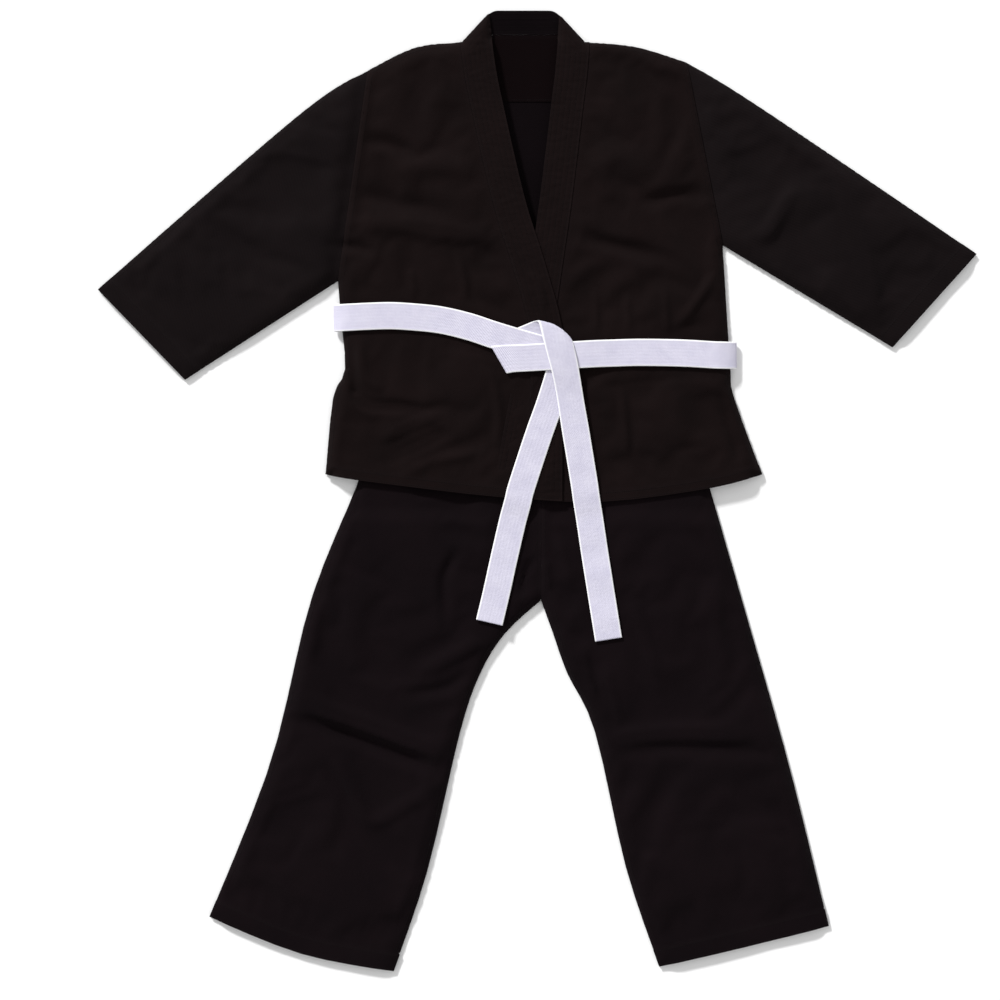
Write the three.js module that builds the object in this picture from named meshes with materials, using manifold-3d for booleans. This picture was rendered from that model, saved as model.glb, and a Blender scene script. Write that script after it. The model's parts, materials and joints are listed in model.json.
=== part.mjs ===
// A martial arts uniform laid flat: a cross-over cotton jacket, elastic-waist trousers and a
// tied belt. Millimetres, +Z up. The uniform lies on its back on the plane z = 0, with the collar
// towards +Y. "Right" and "left" are the wearer's, so the right side of the garment is at -X.
import * as THREE from 'three';
import { mergeVertices } from 'three/addons/utils/BufferGeometryUtils.js';
import Module from 'manifold-3d';

const wasm = await Module();
wasm.setup();

// ---------------------------------------------------------------- cloth, belt and clearances
const cloth = 1.0;            // one ply of cotton drill
const doubled = 1.6;          // a turned and stitched band: lapel, collar, hem
const loft = 10;              // air between the plies of a sleeve, leg or body
const seat = 0.3;             // gap between pieces that touch
const rimWidth = 10;          // width of a felled seam, the wall between the back and front plies
const beltWidth = 40;
const beltThickness = 1.8;
const beltRoom = 2;           // play each side of the belt in the tunnel of the jacket's back
const beltRamp = 10;          // length over which the back climbs onto the belt

// ---------------------------------------------------------------- jacket
const jacketLength = 722;     // collar top to hem at the centre
const hemLevel = -12;         // y of the hem at the centre
const hemSag = 37;            // how far the middle of the hem hangs below its corners
const hemDepth = 14;          // height of the stitched hem
const chest = { width: 568, centre: -13 };
const waist = { width: 569, centre: -2, height: 192 };
const flare = { width: 592, centre: -8, height: 150 };
const hemLine = { width: 644, centre: 7 };
const sideSeam = { right: 323, left: 376 };        // hem level up to the underarm
const armTop = {
  right: { out: 230, height: 633 },
  left: { out: 241, height: 645 },
};
const collar = { centre: -23, topWidth: 94, footWidth: 181, foot: 47, bandHeight: 35, corner: 9 };
const shoulderLift = { right: 13, left: 8 };
const lapelWidth = 47;
const yokeDepth = 99;         // below the foot of the collar band
const frontEdge = 34;         // x of the upper front's free edge below the belt

// ---------------------------------------------------------------- sleeves
const sleeveLength = 513;     // along the top edge, armhole to cuff
const cuffWidth = 185;
const cuffDepth = 25;
const sleeveLay = {
  right: { slope: 219, cuffSlope: 314, crown: 13, crownOut: 5 },
  left: { slope: -33.4, cuffSlope: 228, crown: 4, crownOut: 2 },
};

// ---------------------------------------------------------------- trousers
const waistTop = 145;         // y of the top of the waistband
const waistband = { width: 400, centre: -9, depth: 40, ply: 0.6 };
const elastic = { width: 34, thickness: 1.0, room: 0.2 };
const hip = { width: 519, centre: -9 };
const crotch = { x: 3, y: -161 };
const legHemDepth = 25;
const legLay = {
  right: {
    inseam: 590, slope: -111.7, hemWidth: 283, hemSlope: 163.5, hemBow: 14,
    knee: [-256, -347], kneeTilt: -16, bow: 10, tuck: 12, arch: [34, 47, 42, 9],
  },
  left: {
    inseam: 569, slope: -72.1, hemWidth: 257, hemSlope: 13.5, hemBow: 1,
    knee: [222, -352], kneeTilt: 13.5, bow: 3, tuck: -6, arch: [2, 4, 17, -2],
  },
};
const archAt = [0.09, 0.2, 0.36, 0.73];     // shares of the inseam where the arch is set
const gussetWidth = 12;
const hemStep = 18;           // the trousers drop to the floor this far below the jacket's hem level
const stepRamp = 10;

// ---------------------------------------------------------------- belt lay
const beltRight = 255;        // y of the belt's middle at the wearer's right side
const beltLeft = 200;         // and at the left side
const tailHinge = 88;         // y where the free tails begin
const tail = {
  right: { length: 291, slope: -104.7, top: [1, 88], bow: 7 },
  left: { length: 311, slope: -80.9, top: [53, 88], bow: 0 },
};

// ---------------------------------------------------------------- heights, from the floor up
const insideFloor = doubled + seat;
const trouserFront = insideFloor + cloth + loft;
const underFront = trouserFront + cloth + seat;
const overFront = underFront + doubled + seat;
const beltLevel = overFront + doubled + seat;
const beltStep = beltThickness + seat;
const sleeveFront = cloth + loft;
const legFront = trouserFront;
const tunnelTop = beltThickness + seat + cloth + seat;
const tailOnTrousers = trouserFront + cloth + seat;
const far = 2000;             // longer than the whole uniform

// ---------------------------------------------------------------- colours
const clothMaterial = (color) => new THREE.MeshStandardMaterial({ color, roughness: 0.9, metalness: 0 });
const jacketCotton = 0x15110f;
const sleeveCotton = 0x181415;
const trouserCotton = 0x120d10;
const liningCotton = 0x0d090b;
const elasticWhite = 0xd9d6cf;
const beltWhite = 0xdedeeb;

// ---------------------------------------------------------------- small geometry helpers
const at = (x, y) => new THREE.Vector2(x, y);
const radians = (degrees) => degrees * Math.PI / 180;
const go = (p, length, degrees) => at(
  p.x + length * Math.cos(radians(degrees)),
  p.y + length * Math.sin(radians(degrees)),
);
const between = (p, q, t) => at(p.x + (q.x - p.x) * t, p.y + (q.y - p.y) * t);
const smooth = (points, steps) => new THREE.SplineCurve(points).getPoints(steps);

// A curve moved sideways by a distance, to the left of its direction when the distance is positive.
function offset(points, distance) {
  return points.map((p, i) => {
    const before = points[Math.max(i - 1, 0)];
    const after = points[Math.min(i + 1, points.length - 1)];
    const along = after.clone().sub(before).normalize();
    return at(p.x - along.y * distance, p.y + along.x * distance);
  });
}

// The strip between a curve and the same curve moved sideways.
function band(points, width) {
  return [...points, ...offset(points, width).reverse()];
}

// The strip that runs a little past both ends of the curve, for cutting.
function longBand(points, width, extra) {
  const first = points[0].clone().add(points[0].clone().sub(points[1]).setLength(extra));
  const n = points.length - 1;
  const last = points[n].clone().add(points[n].clone().sub(points[n - 1]).setLength(extra));
  return band([first, ...points, last], width);
}

// ---------------------------------------------------------------- solids
function toSolid(geometry) {
  const bare = geometry.clone();
  bare.deleteAttribute('normal');
  bare.deleteAttribute('uv');
  const merged = mergeVertices(bare, 1e-4);
  const mesh = new wasm.Mesh({
    numProp: 3,
    vertProperties: new Float32Array(merged.attributes.position.array),
    triVerts: new Uint32Array(merged.index.array),
  });
  return new wasm.Manifold(mesh);
}

function toGeometry(solid) {
  const mesh = solid.getMesh();
  const geometry = new THREE.BufferGeometry();
  geometry.setAttribute('position', new THREE.BufferAttribute(new Float32Array(mesh.vertProperties), 3));
  geometry.setIndex(new THREE.BufferAttribute(new Uint32Array(mesh.triVerts), 1));
  geometry.computeVertexNormals();
  return geometry;
}

// A plan outline made thick from one height to another.
function plate(outline, low, high) {
  const settings = { depth: high - low, bevelEnabled: false };
  const geometry = new THREE.ExtrudeGeometry(new THREE.Shape(outline), settings);
  geometry.translate(0, 0, low);
  return toSolid(geometry);
}

// A section of (y, z) points carried along X.
function acrossX(section, low = -far, high = far) {
  const settings = { depth: high - low, bevelEnabled: false };
  const geometry = new THREE.ExtrudeGeometry(new THREE.Shape(section), settings);
  const turn = new THREE.Matrix4().makeBasis(
    new THREE.Vector3(0, 1, 0),
    new THREE.Vector3(0, 0, 1),
    new THREE.Vector3(1, 0, 0),
  );
  geometry.applyMatrix4(turn);
  geometry.translate(low, 0, 0);
  return toSolid(geometry);
}

// A section of (x, z) points carried along Y.
function acrossY(section, low = -far, high = far) {
  const settings = { depth: high - low, bevelEnabled: false };
  const geometry = new THREE.ExtrudeGeometry(new THREE.Shape(section), settings);
  geometry.rotateX(Math.PI / 2);
  geometry.translate(0, high, 0);
  return toSolid(geometry);
}

function box(x0, y0, x1, y1, low, high) {
  return plate([at(x0, y0), at(x1, y0), at(x1, y1), at(x0, y1)], low, high);
}

// The half of the plan on the left of the line from p towards q, kept clear of it by a gap.
function leftOf(p, q, gap = 0) {
  const along = q.clone().sub(p).normalize();
  const start = at(p.x - along.x * far - along.y * gap, p.y - along.y * far + along.x * gap);
  const end = at(start.x + 2 * far * along.x, start.y + 2 * far * along.y);
  const away = at(-along.y * far, along.x * far);
  return plate([start, end, end.clone().add(away), start.clone().add(away)], -far, far);
}

// A layer of even thickness whose underside follows (distance, height) points.
function layer(points, thickness) {
  const under = points.map(([d, h]) => at(d, h));
  const over = points.map(([d, h]) => at(d, h + thickness)).reverse();
  return [...under, ...over];
}

// ---------------------------------------------------------------- landmarks of the jacket
const edgeAt = (level, side) => level.centre + side * level.width / 2;
const collarTop = hemLevel + jacketLength;
const collarFoot = collarTop - collar.foot;
const bandFoot = collarTop - collar.bandHeight;

const armpit = {
  right: at(edgeAt(chest, -1), hemLevel + sideSeam.right),
  left: at(edgeAt(chest, 1), hemLevel + sideSeam.left),
};
const armPoint = {
  right: at(collar.centre - armTop.right.out, hemLevel + armTop.right.height),
  left: at(collar.centre + armTop.left.out, hemLevel + armTop.left.height),
};
const hemCorner = {
  right: at(edgeAt(hemLine, -1), hemLevel + hemSag),
  left: at(edgeAt(hemLine, 1), hemLevel + hemSag),
};
const neckPoint = {
  right: at(collar.centre - collar.footWidth / 2, collarFoot),
  left: at(collar.centre + collar.footWidth / 2, collarFoot),
};
const collarCorner = {
  right: at(collar.centre - collar.topWidth / 2, collarTop),
  left: at(collar.centre + collar.topWidth / 2, collarTop),
};

// The side of the body from the hem corner up to the underarm.
function sideCurve(side, sign) {
  const flarePoint = at(edgeAt(flare, sign), hemLevel + flare.height);
  const waistPoint = at(edgeAt(waist, sign), hemLevel + waist.height);
  const upper = between(waistPoint, armpit[side], 0.6);
  return smooth([hemCorner[side], flarePoint, waistPoint, upper, armpit[side]], 12);
}

// The shoulder from the arm point to the collar's top corner.
function shoulderCurve(side) {
  const middle = between(armPoint[side], neckPoint[side], 0.5);
  const crest = at(middle.x, middle.y + shoulderLift[side]);
  const shoulder = smooth([armPoint[side], crest, neckPoint[side]], 8);
  const slope = between(neckPoint[side], collarCorner[side], 0.8);
  const inward = Math.sign(collar.centre - collarCorner[side].x);
  const cornerEnd = at(collarCorner[side].x + inward * collar.corner, collarTop);
  const rounded = new THREE.QuadraticBezierCurve(slope, collarCorner[side], cornerEnd).getPoints(4);
  return [...shoulder, ...rounded];
}

const hemCurve = smooth([
  hemCorner.right,
  at(edgeAt(hemLine, -1) + 55, hemLevel + hemSag * 0.74),
  at(hemLine.centre - 60, hemLevel + 3),
  at(hemLine.centre + 90, hemLevel - 3),
  at(edgeAt(hemLine, 1) - 75, hemLevel + hemSag * 0.46),
  hemCorner.left,
], 20);

const bodyOutline = [
  ...hemCurve,
  ...sideCurve('left', 1).slice(1),
  ...shoulderCurve('left'),
  ...shoulderCurve('right').reverse(),
  ...sideCurve('right', -1).reverse().slice(0, -1),
];

// Free edges of the two fronts, from the collar down to below the hem.
const overFree = smooth([
  at(collarCorner.right.x - 5, collarTop + 4),
  at(-65, 630),
  at(-50, 556),
  at(-21, 431),
  at(6, 345),
  at(frontEdge - 2, 250),
  at(frontEdge, 190),
  at(frontEdge, hemLevel - 20),
], 26);
const underFree = smooth([
  at(collarCorner.left.x + 7, collarTop + 4),
  at(25, 630),
  at(18, 571),
  at(1, 431),
  at(-18, 300),
  at(-34, 190),
  at(-75, hemLevel - 20),
], 22);

// Plan regions that cut the fronts out of the body.
const overSide = [...overFree, at(-far, hemLevel - 20), at(-far, collarTop + 4)];
const underSide = [...underFree, at(far, hemLevel - 20), at(far, collarTop + 4)];

const bodyRegion = (low, high) => plate(bodyOutline, low, high);
const hemRegion = (extra) => plate(band(hemCurve, hemDepth + extra), -far, far);

// ---------------------------------------------------------------- the jacket's back and inside
// The belt lies under the back, which climbs over it in a shallow tunnel.
const beltRun = at(edgeAt(waist, 1), beltLeft).sub(at(edgeAt(waist, -1), beltRight));
const beltAngle = Math.atan2(beltRun.y, beltRun.x);
const beltMiddle = at(waist.centre, (beltLeft + beltRight) / 2);

function tunnelSection(height, grow) {
  const flat = beltWidth / 2 + beltRoom + grow;
  const foot = flat + beltRamp;
  return [[-far / 2, 0], [-foot, 0], [-flat, height], [flat, height], [foot, 0], [far / 2, 0]];
}

function turnedToBelt(solid) {
  return solid.rotate([0, 0, beltAngle * 180 / Math.PI]).translate([beltMiddle.x, beltMiddle.y, 0]);
}

function jacketBack() {
  const sheet = turnedToBelt(acrossX(layer(tunnelSection(beltThickness + seat, 0), cloth)));
  return sheet
    .intersect(bodyRegion(-1, 50))
    .subtract(hemRegion(seat))
    .subtract(box(-far, bandFoot - seat, far, far, -far, far));
}

function backHem() {
  return bodyRegion(0, doubled).intersect(hemRegion(0));
}

function collarBand() {
  return bodyRegion(0, doubled).intersect(box(-far, bandFoot, far, far, -far, far));
}

// Everything above the tunnel's cloth, for pieces that stand on the back.
function clearOfTunnel(solid) {
  const hump = turnedToBelt(acrossX([
    at(-beltWidth / 2 - beltRoom - beltRamp - 1, -1),
    at(beltWidth / 2 + beltRoom + beltRamp + 1, -1),
    at(beltWidth / 2 + beltRoom + beltRamp + 1, tunnelTop),
    at(-beltWidth / 2 - beltRoom - beltRamp - 1, tunnelTop),
  ]));
  return solid.subtract(hump);
}

function shoulderRim(side, sign, top) {
  const curve = shoulderCurve(side);
  return plate(band(curve, sign * rimWidth), insideFloor, top)
    .intersect(bodyRegion(-1, 50));
}

function backYoke() {
  const rims = plate(longBand(shoulderCurve('right'), -(rimWidth + 1), 5), -1, 50)
    .add(plate(longBand(shoulderCurve('left'), rimWidth + 1, 5), -1, 50));
  return bodyRegion(cloth + seat, cloth + seat + 0.8)
    .intersect(box(-far, bandFoot - yokeDepth, far, bandFoot - 1, -far, far))
    .subtract(rims);
}

function sideRim(side, sign, top) {
  const curve = sideCurve(side, sign);
  const wall = plate(band(curve, sign * rimWidth), insideFloor, top).intersect(bodyRegion(-1, 50));
  return clearOfTunnel(wall);
}

// ---------------------------------------------------------------- the jacket's fronts
function lapel(free, width, low) {
  return plate(band(free, width), low, low + doubled).intersect(bodyRegion(-1, 50));
}

function front(side, free, width, low, thickness) {
  return bodyRegion(low, low + thickness)
    .intersect(plate(side, -1, 50))
    .subtract(plate(band(free, width), -1, 50));
}

// ---------------------------------------------------------------- sleeves
function sleeveShape(side) {
  const lay = sleeveLay[side];
  const cuffTop = go(armPoint[side], sleeveLength, lay.slope);
  const cuffFoot = go(cuffTop, cuffWidth, lay.cuffSlope);
  const outward = Math.sign(armPoint[side].x - collar.centre);
  const crownPoint = between(armPoint[side], cuffTop, 0.24);
  const crown = at(crownPoint.x + outward * lay.crownOut, crownPoint.y + lay.crown);
  const top = smooth([armPoint[side], crown, cuffTop], 12);
  return { top, cuffTop, cuffFoot, outline: [...top, cuffFoot, armpit[side]] };
}

// The sleeve's plan, kept off the armhole line by half the seat.
function sleeveRegion(side, low, high) {
  const { outline } = sleeveShape(side);
  const sign = side === 'right' ? 1 : -1;
  const [from, to] = sign > 0 ? [armpit.right, armPoint.right] : [armPoint.left, armpit.left];
  return plate(outline, low, high).intersect(leftOf(from, to, seat / 2));
}

function cuffRegion(side, extra) {
  const { cuffTop, cuffFoot } = sleeveShape(side);
  const inward = side === 'right' ? 1 : -1;
  return plate(longBand([cuffTop, cuffFoot], inward * (cuffDepth + extra), 20), -1, 50);
}

function sleeveParts(side) {
  const inward = side === 'right' ? 1 : -1;
  const { top, cuffFoot } = sleeveShape(side);
  const region = (low, high) => sleeveRegion(side, low, high);
  const rim = (curve, width) => plate(longBand(curve, width, 30), insideFloor, sleeveFront - seat)
    .intersect(region(-1, 50));
  return {
    back: region(0, cloth).subtract(cuffRegion(side, seat)),
    front: region(sleeveFront, sleeveFront + cloth).subtract(cuffRegion(side, seat)),
    cuff_back: region(0, doubled).intersect(cuffRegion(side, 0)),
    cuff_front: region(sleeveFront, sleeveFront + doubled).intersect(cuffRegion(side, 0)),
    top_fold: rim(top, inward * rimWidth),
    underarm_seam: rim([cuffFoot, armpit[side]], inward * rimWidth),
  };
}

// ---------------------------------------------------------------- trousers
const crotchPoint = at(crotch.x, crotch.y);
const jacketFootY = hemLevel - hemStep;

function legShape(side, sign) {
  const lay = legLay[side];
  const hemInner = go(crotchPoint, lay.inseam, lay.slope);
  const hemOuter = go(hemInner, lay.hemWidth, lay.hemSlope);
  const hipPoint = at(edgeAt(hip, sign), hemLevel + 22);
  const waistPoint = at(edgeAt(waistband, sign), waistTop);
  const knee = at(...lay.knee);
  const outer = smooth([
    waistPoint,
    at((waistPoint.x + hipPoint.x) / 2 + sign * 10, (waistPoint.y + hipPoint.y) / 2),
    hipPoint,
    between(hipPoint, hemOuter, 0.27).add(at(sign * lay.bow, 0)),
    between(hipPoint, hemOuter, 0.64).add(at(-sign * lay.tuck, 0)),
    hemOuter,
  ], 22);
  const inner = smooth([
    crotchPoint,
    ...lay.arch.map((bow, i) => between(crotchPoint, hemInner, archAt[i]).add(at(sign * bow, 0))),
    hemInner,
  ], 20);
  const hemMiddle = between(hemInner, hemOuter, 0.5).add(at(0, -lay.hemBow));
  const hem = smooth([hemInner, hemMiddle, hemOuter], 8);
  return { outer, inner, hem, hemInner, hemOuter, knee };
}

const trouserOutline = [
  ...legShape('right', -1).outer,
  ...legShape('right', -1).hem.slice().reverse().slice(1),
  ...legShape('right', -1).inner.slice().reverse().slice(1),
  ...legShape('left', 1).inner.slice(1),
  ...legShape('left', 1).hem.slice(1),
  ...legShape('left', 1).outer.slice().reverse().slice(1),
];

const trouserRegion = (low, high) => plate(trouserOutline, low, high);
const bandRegion = (extra) => box(-far, waistTop - waistband.depth - extra, far, far, -1, 50);

// The plan below a leg's knee line, kept off it by half the seat.
function belowKnee(side, gap) {
  const { knee } = legShape(side, side === 'right' ? -1 : 1);
  const along = go(knee, 100, legLay[side].kneeTilt + 180);
  const half = leftOf(knee, along, gap);
  const [west, east] = side === 'right' ? [-far, crotch.x] : [crotch.x, far];
  const own = box(west, -far, east, far, -far, far);
  return half.intersect(own);
}

function aboveKnees(solid) {
  return solid.subtract(belowKnee('right', -seat / 2)).subtract(belowKnee('left', -seat / 2));
}
const halfOf = (sign) => (sign < 0
  ? box(-far, -far, crotch.x - seat / 2, far, -far, far)
  : box(crotch.x + seat / 2, -far, far, far, -far, far));

// The trousers' back rests on the floor below the jacket and on the jacket's back inside it.
function trouserBackSheet() {
  const section = [[-far, 0], [jacketFootY - stepRamp, 0], [jacketFootY, insideFloor], [far, insideFloor]];
  return acrossX(layer(section, cloth));
}

function gussetRegion(extra) {
  const right = legShape('right', -1).inner;
  const left = legShape('left', 1).inner;
  const curve = [...right.slice(0, 14).reverse(), ...left.slice(1, 14)];
  return plate(longBand(curve, gussetWidth + extra, 40), -1, 50);
}

function thigh(sign, sheet) {
  return aboveKnees(sheet.intersect(trouserRegion(-1, 50)))
    .intersect(halfOf(sign))
    .subtract(bandRegion(seat));
}

function outerRim(side, sign, low, top) {
  const { outer } = legShape(side, sign);
  return plate(band(outer, -sign * rimWidth), low, top).intersect(trouserRegion(-1, 50));
}

function gusset() {
  const low = insideFloor;
  return aboveKnees(gussetRegion(0).intersect(trouserRegion(low, legFront - seat)));
}

function lowerLeg(side, sign) {
  const { hem, inner } = legShape(side, sign);
  const below = belowKnee(side, seat / 2);
  const hemCut = (extra) => plate(longBand(hem, sign * (legHemDepth + extra), 30), -1, 50);
  const sheet = (low, high) => trouserRegion(low, high).intersect(below);
  const wallTop = legFront - seat;
  return {
    back: sheet(0, cloth).subtract(hemCut(seat)),
    front: sheet(legFront, legFront + cloth).subtract(hemCut(seat)),
    hem_back: sheet(0, doubled).intersect(hemCut(0)),
    hem_front: sheet(legFront, legFront + doubled).intersect(hemCut(0)),
    outer_seam: outerRim(side, sign, insideFloor, wallTop).intersect(below),
    inner_seam: plate(band(inner, sign * rimWidth), insideFloor, wallTop)
      .intersect(trouserRegion(-1, 50)).intersect(below),
  };
}

// ---------------------------------------------------------------- waistband
const casingHeight = 2 * waistband.ply + 2 * elastic.room + elastic.thickness;
const casingMiddle = waistTop - waistband.depth / 2;
const casingEnd = 4;          // the elastic turns this far outside the casing's ends

function casing(low) {
  const outer = [
    at(waistTop - waistband.depth, low),
    at(waistTop, low),
    at(waistTop, low + casingHeight),
    at(waistTop - waistband.depth, low + casingHeight),
  ];
  const half = elastic.width / 2 + elastic.room;
  const inner = [
    at(casingMiddle - half, low + waistband.ply),
    at(casingMiddle + half, low + waistband.ply),
    at(casingMiddle + half, low + casingHeight - waistband.ply),
    at(casingMiddle - half, low + casingHeight - waistband.ply),
  ];
  const left = edgeAt(waistband, -1) + casingEnd;
  const right = edgeAt(waistband, 1) - casingEnd;
  return acrossX(outer, left, right).subtract(acrossX(inner, left - 1, right + 1));
}

function elasticLoop(lowBack, lowFront) {
  const x0 = edgeAt(waistband, -1) + 1;
  const x1 = edgeAt(waistband, 1) - 1;
  const y0 = casingMiddle - elastic.width / 2;
  const y1 = casingMiddle + elastic.width / 2;
  const z0 = lowBack + waistband.ply + elastic.room;
  const z1 = lowFront + waistband.ply + elastic.room + elastic.thickness;
  const inside = elastic.thickness;
  return box(x0, y0, x1, y1, z0, z1)
    .subtract(box(x0 + inside, y0 - 1, x1 - inside, y1 + 1, z0 + inside, z1 - inside));
}

// ---------------------------------------------------------------- belt
const knotLevel = (n) => beltLevel + n * beltStep;

// How far out the jacket's side reaches, over the width of the belt.
function sideReach(side, sign, y) {
  const curve = sideCurve(side, sign);
  const low = y - beltWidth / 2;
  const high = y + beltWidth / 2;
  let reach = 0;
  for (let i = 1; i < curve.length; i += 1) {
    const [p, q] = [curve[i - 1], curve[i]];
    if (q.y < low || p.y > high) continue;
    for (const level of [Math.max(low, p.y), Math.min(high, q.y)]) {
      reach = Math.max(reach, sign * between(p, q, (level - p.y) / (q.y - p.y)).x);
    }
  }
  return sign * reach;
}

const beltSides = {
  right: sideReach('right', -1, beltRight) - seat,
  left: sideReach('left', 1, beltLeft) + seat,
};
const turnRadius = (beltLevel + beltThickness) / 2;

// A half-round turn from under the jacket to the front, at one side.
function sideTurn(x, sign, y) {
  const outer = [];
  const inner = [];
  const steps = 10;
  for (let i = 0; i <= steps; i += 1) {
    const a = radians(-90 + 180 * i / steps);
    outer.push(at(x + sign * turnRadius * Math.cos(a), turnRadius + turnRadius * Math.sin(a)));
    const r = turnRadius - beltThickness;
    inner.push(at(x + sign * r * Math.cos(a), turnRadius + r * Math.sin(a)));
  }
  const stub = 3;
  const section = [
    at(x - sign * stub, 0),
    ...outer,
    at(x - sign * stub, 2 * turnRadius),
    at(x - sign * stub, 2 * turnRadius - beltThickness),
    ...inner.reverse(),
    at(x - sign * stub, beltThickness),
  ];
  return acrossY(section, y - beltWidth / 2, y + beltWidth / 2);
}

const turnStub = 3 + seat;
const rightSpanEnd = 10;

function backSpan() {
  const strap = turnedToBelt(box(-far, -beltWidth / 2, far, beltWidth / 2, 0, beltThickness));
  return strap.intersect(box(beltSides.right + turnStub, -far, beltSides.left - turnStub, far, -1, 50));
}

// The strap on the front that comes from the right side into the middle of the knot.
function rightSpan() {
  const middle = smooth([
    at(beltSides.right - 20, beltRight),
    at(-221, beltRight + 3),
    at(-147, beltRight - 3),
    at(-65, 229),
    at(20, 204),
  ], 14);
  const strip = band(offset(middle, -beltWidth / 2), beltWidth);
  const start = beltSides.right + turnStub;
  const end = rightSpanEnd;
  const section = layer([
    [start, knotLevel(0)],
    [-112, knotLevel(0)],
    [-78, knotLevel(1)],
    [end, knotLevel(1)],
  ], beltThickness);
  return plate(strip, 0, 50).intersect(acrossY(section));
}

// The strap from the left side passes over the right one and folds back behind it on a slant.
const foldMiddle = at(-57.5, beltLeft - 7);
const foldTop = at(foldMiddle.x - 0.29 * beltWidth, foldMiddle.y + beltWidth / 2);
const foldFoot = at(foldMiddle.x + 0.29 * beltWidth, foldMiddle.y - beltWidth / 2);
const underEdge = beltLeft - beltWidth / 2;  // y of the lower edge of the left strap at the knot
const drop = 22;              // length over which a strap steps down from the knot

function leftSpan() {
  const middle = smooth([at(beltSides.left + 20, beltLeft), at(149, 204), at(58, 200), at(-110, 193)], 12);
  const strip = band(offset(middle, beltWidth / 2), -beltWidth);
  const end = beltSides.left - turnStub;
  const section = layer([
    [-100, knotLevel(2)],
    [62, knotLevel(2)],
    [96, knotLevel(0)],
    [end, knotLevel(0)],
  ], beltThickness);
  return plate(strip, 0, 50)
    .intersect(acrossY(section))
    .intersect(leftOf(foldTop, foldFoot));
}

// Behind the fold the strap runs up to the top of the knot.
const wrapTop = beltLeft + 18 + beltWidth / 2;  // y where the strap starts to turn over the top

const wrapX = 14;             // x of the strap's middle there

function underFold() {
  const top = wrapTop - 2;
  const half = beltWidth / 2;
  const outline = [foldTop, foldFoot, at(wrapX + half, top), at(wrapX - half, top)];
  return plate(outline, knotLevel(0), knotLevel(0) + beltThickness);
}

// The plan below or above the line across a tail at its hinge.
function pastHinge(side) {
  const { top, slope } = tail[side];
  const start = at(...top);
  return leftOf(go(start, 100, slope + 90), start, seat / 2);
}

function beforeHinge(side) {
  const { top, slope } = tail[side];
  const start = at(...top);
  return leftOf(start, go(start, 100, slope + 90), seat / 2);
}

// The strap comes over the top of the knot, down its front and onto the other tail.
function knotWrap() {
  const low = knotLevel(0);
  const high = knotLevel(3) + beltThickness;
  const radius = (high - low) / 2;
  const outer = [];
  const inner = [];
  for (let i = 0; i <= 10; i += 1) {
    const a = radians(-90 + 18 * i);
    outer.push(at(wrapTop + radius * Math.cos(a), low + radius + radius * Math.sin(a)));
    const r = radius - beltThickness;
    inner.push(at(wrapTop + r * Math.cos(a), low + radius + r * Math.sin(a)));
  }
  const end = tailHinge - 20;
  const wrapFoot = underEdge - 8;
  const section = [
    at(wrapTop - 1.5, low),
    ...outer,
    at(wrapFoot, high),
    at(wrapFoot - drop, knotLevel(1) + beltThickness),
    at(end, knotLevel(1) + beltThickness),
    at(end, knotLevel(1)),
    at(wrapFoot - drop, knotLevel(1)),
    at(wrapFoot, knotLevel(3)),
    ...inner.reverse(),
    at(wrapTop - 1.5, low + beltThickness),
  ];
  const middle = smooth([at(12, 262), at(24, 231), at(38, 179), at(53, tailHinge), at(60, 40)], 14);
  return acrossX(section)
    .intersect(plate(band(offset(middle, beltWidth / 2), -beltWidth), -1, 50))
    .intersect(beforeHinge('left'));
}

// The right strap turns down behind the left one and comes out below the knot.
function tailRoot() {
  const section = layer([
    [tailHinge - 20, knotLevel(0)],
    [underEdge - 2 - drop, knotLevel(0)],
    [underEdge - 2, knotLevel(1)],
    [underEdge + 26, knotLevel(1)],
  ], beltThickness);
  const middle = smooth([at(40, 215), at(33, 185), at(24, 157), at(1, tailHinge), at(-14, 40)], 12);
  return acrossX(section)
    .intersect(plate(band(offset(middle, beltWidth / 2), -beltWidth), -1, 50))
    .intersect(beforeHinge('right'))
    .subtract(box(-far, underEdge - 10, rightSpanEnd + seat, far, -1, 50));
}

function freeTail(side, sign, firstLevel) {
  const { length, slope, top } = tail[side];
  const start = at(...top);
  const end = go(start, length, slope);
  const bow = between(start, end, 0.35).add(at(-tail[side].bow, 0));
  const back = go(start, -30, slope);
  const middle = smooth([back, start, bow, end], 14);
  const section = layer([
    [end.y - 60, tailOnTrousers],
    [hemLevel - 26, tailOnTrousers],
    [hemLevel - 6, knotLevel(0)],
    [55, knotLevel(0)],
    [tailHinge - 14, knotLevel(firstLevel)],
    [tailHinge + 40, knotLevel(firstLevel)],
  ], beltThickness);
  return acrossX(section)
    .intersect(plate(band(offset(middle, beltWidth / 2), -beltWidth), -1, 50))
    .intersect(pastHinge(side));
}

// ---------------------------------------------------------------- the assembly
const uniform = new THREE.Group();

function add(name, solid, color) {
  const mesh = new THREE.Mesh(toGeometry(solid), clothMaterial(color));
  mesh.name = name;
  uniform.add(mesh);
}

add('jacket_back', jacketBack(), jacketCotton);
add('back_yoke_lining', backYoke(), liningCotton);
add('jacket_hem_back', backHem(), jacketCotton);
add('collar_neck_band', collarBand(), jacketCotton);
add('shoulder_seam_right', shoulderRim('right', -1, overFront - seat), jacketCotton);
add('shoulder_seam_left', shoulderRim('left', 1, underFront - seat), jacketCotton);
add('side_seam_right', sideRim('right', -1, overFront - seat), jacketCotton);
add('side_seam_left', sideRim('left', 1, underFront - seat), jacketCotton);

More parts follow.
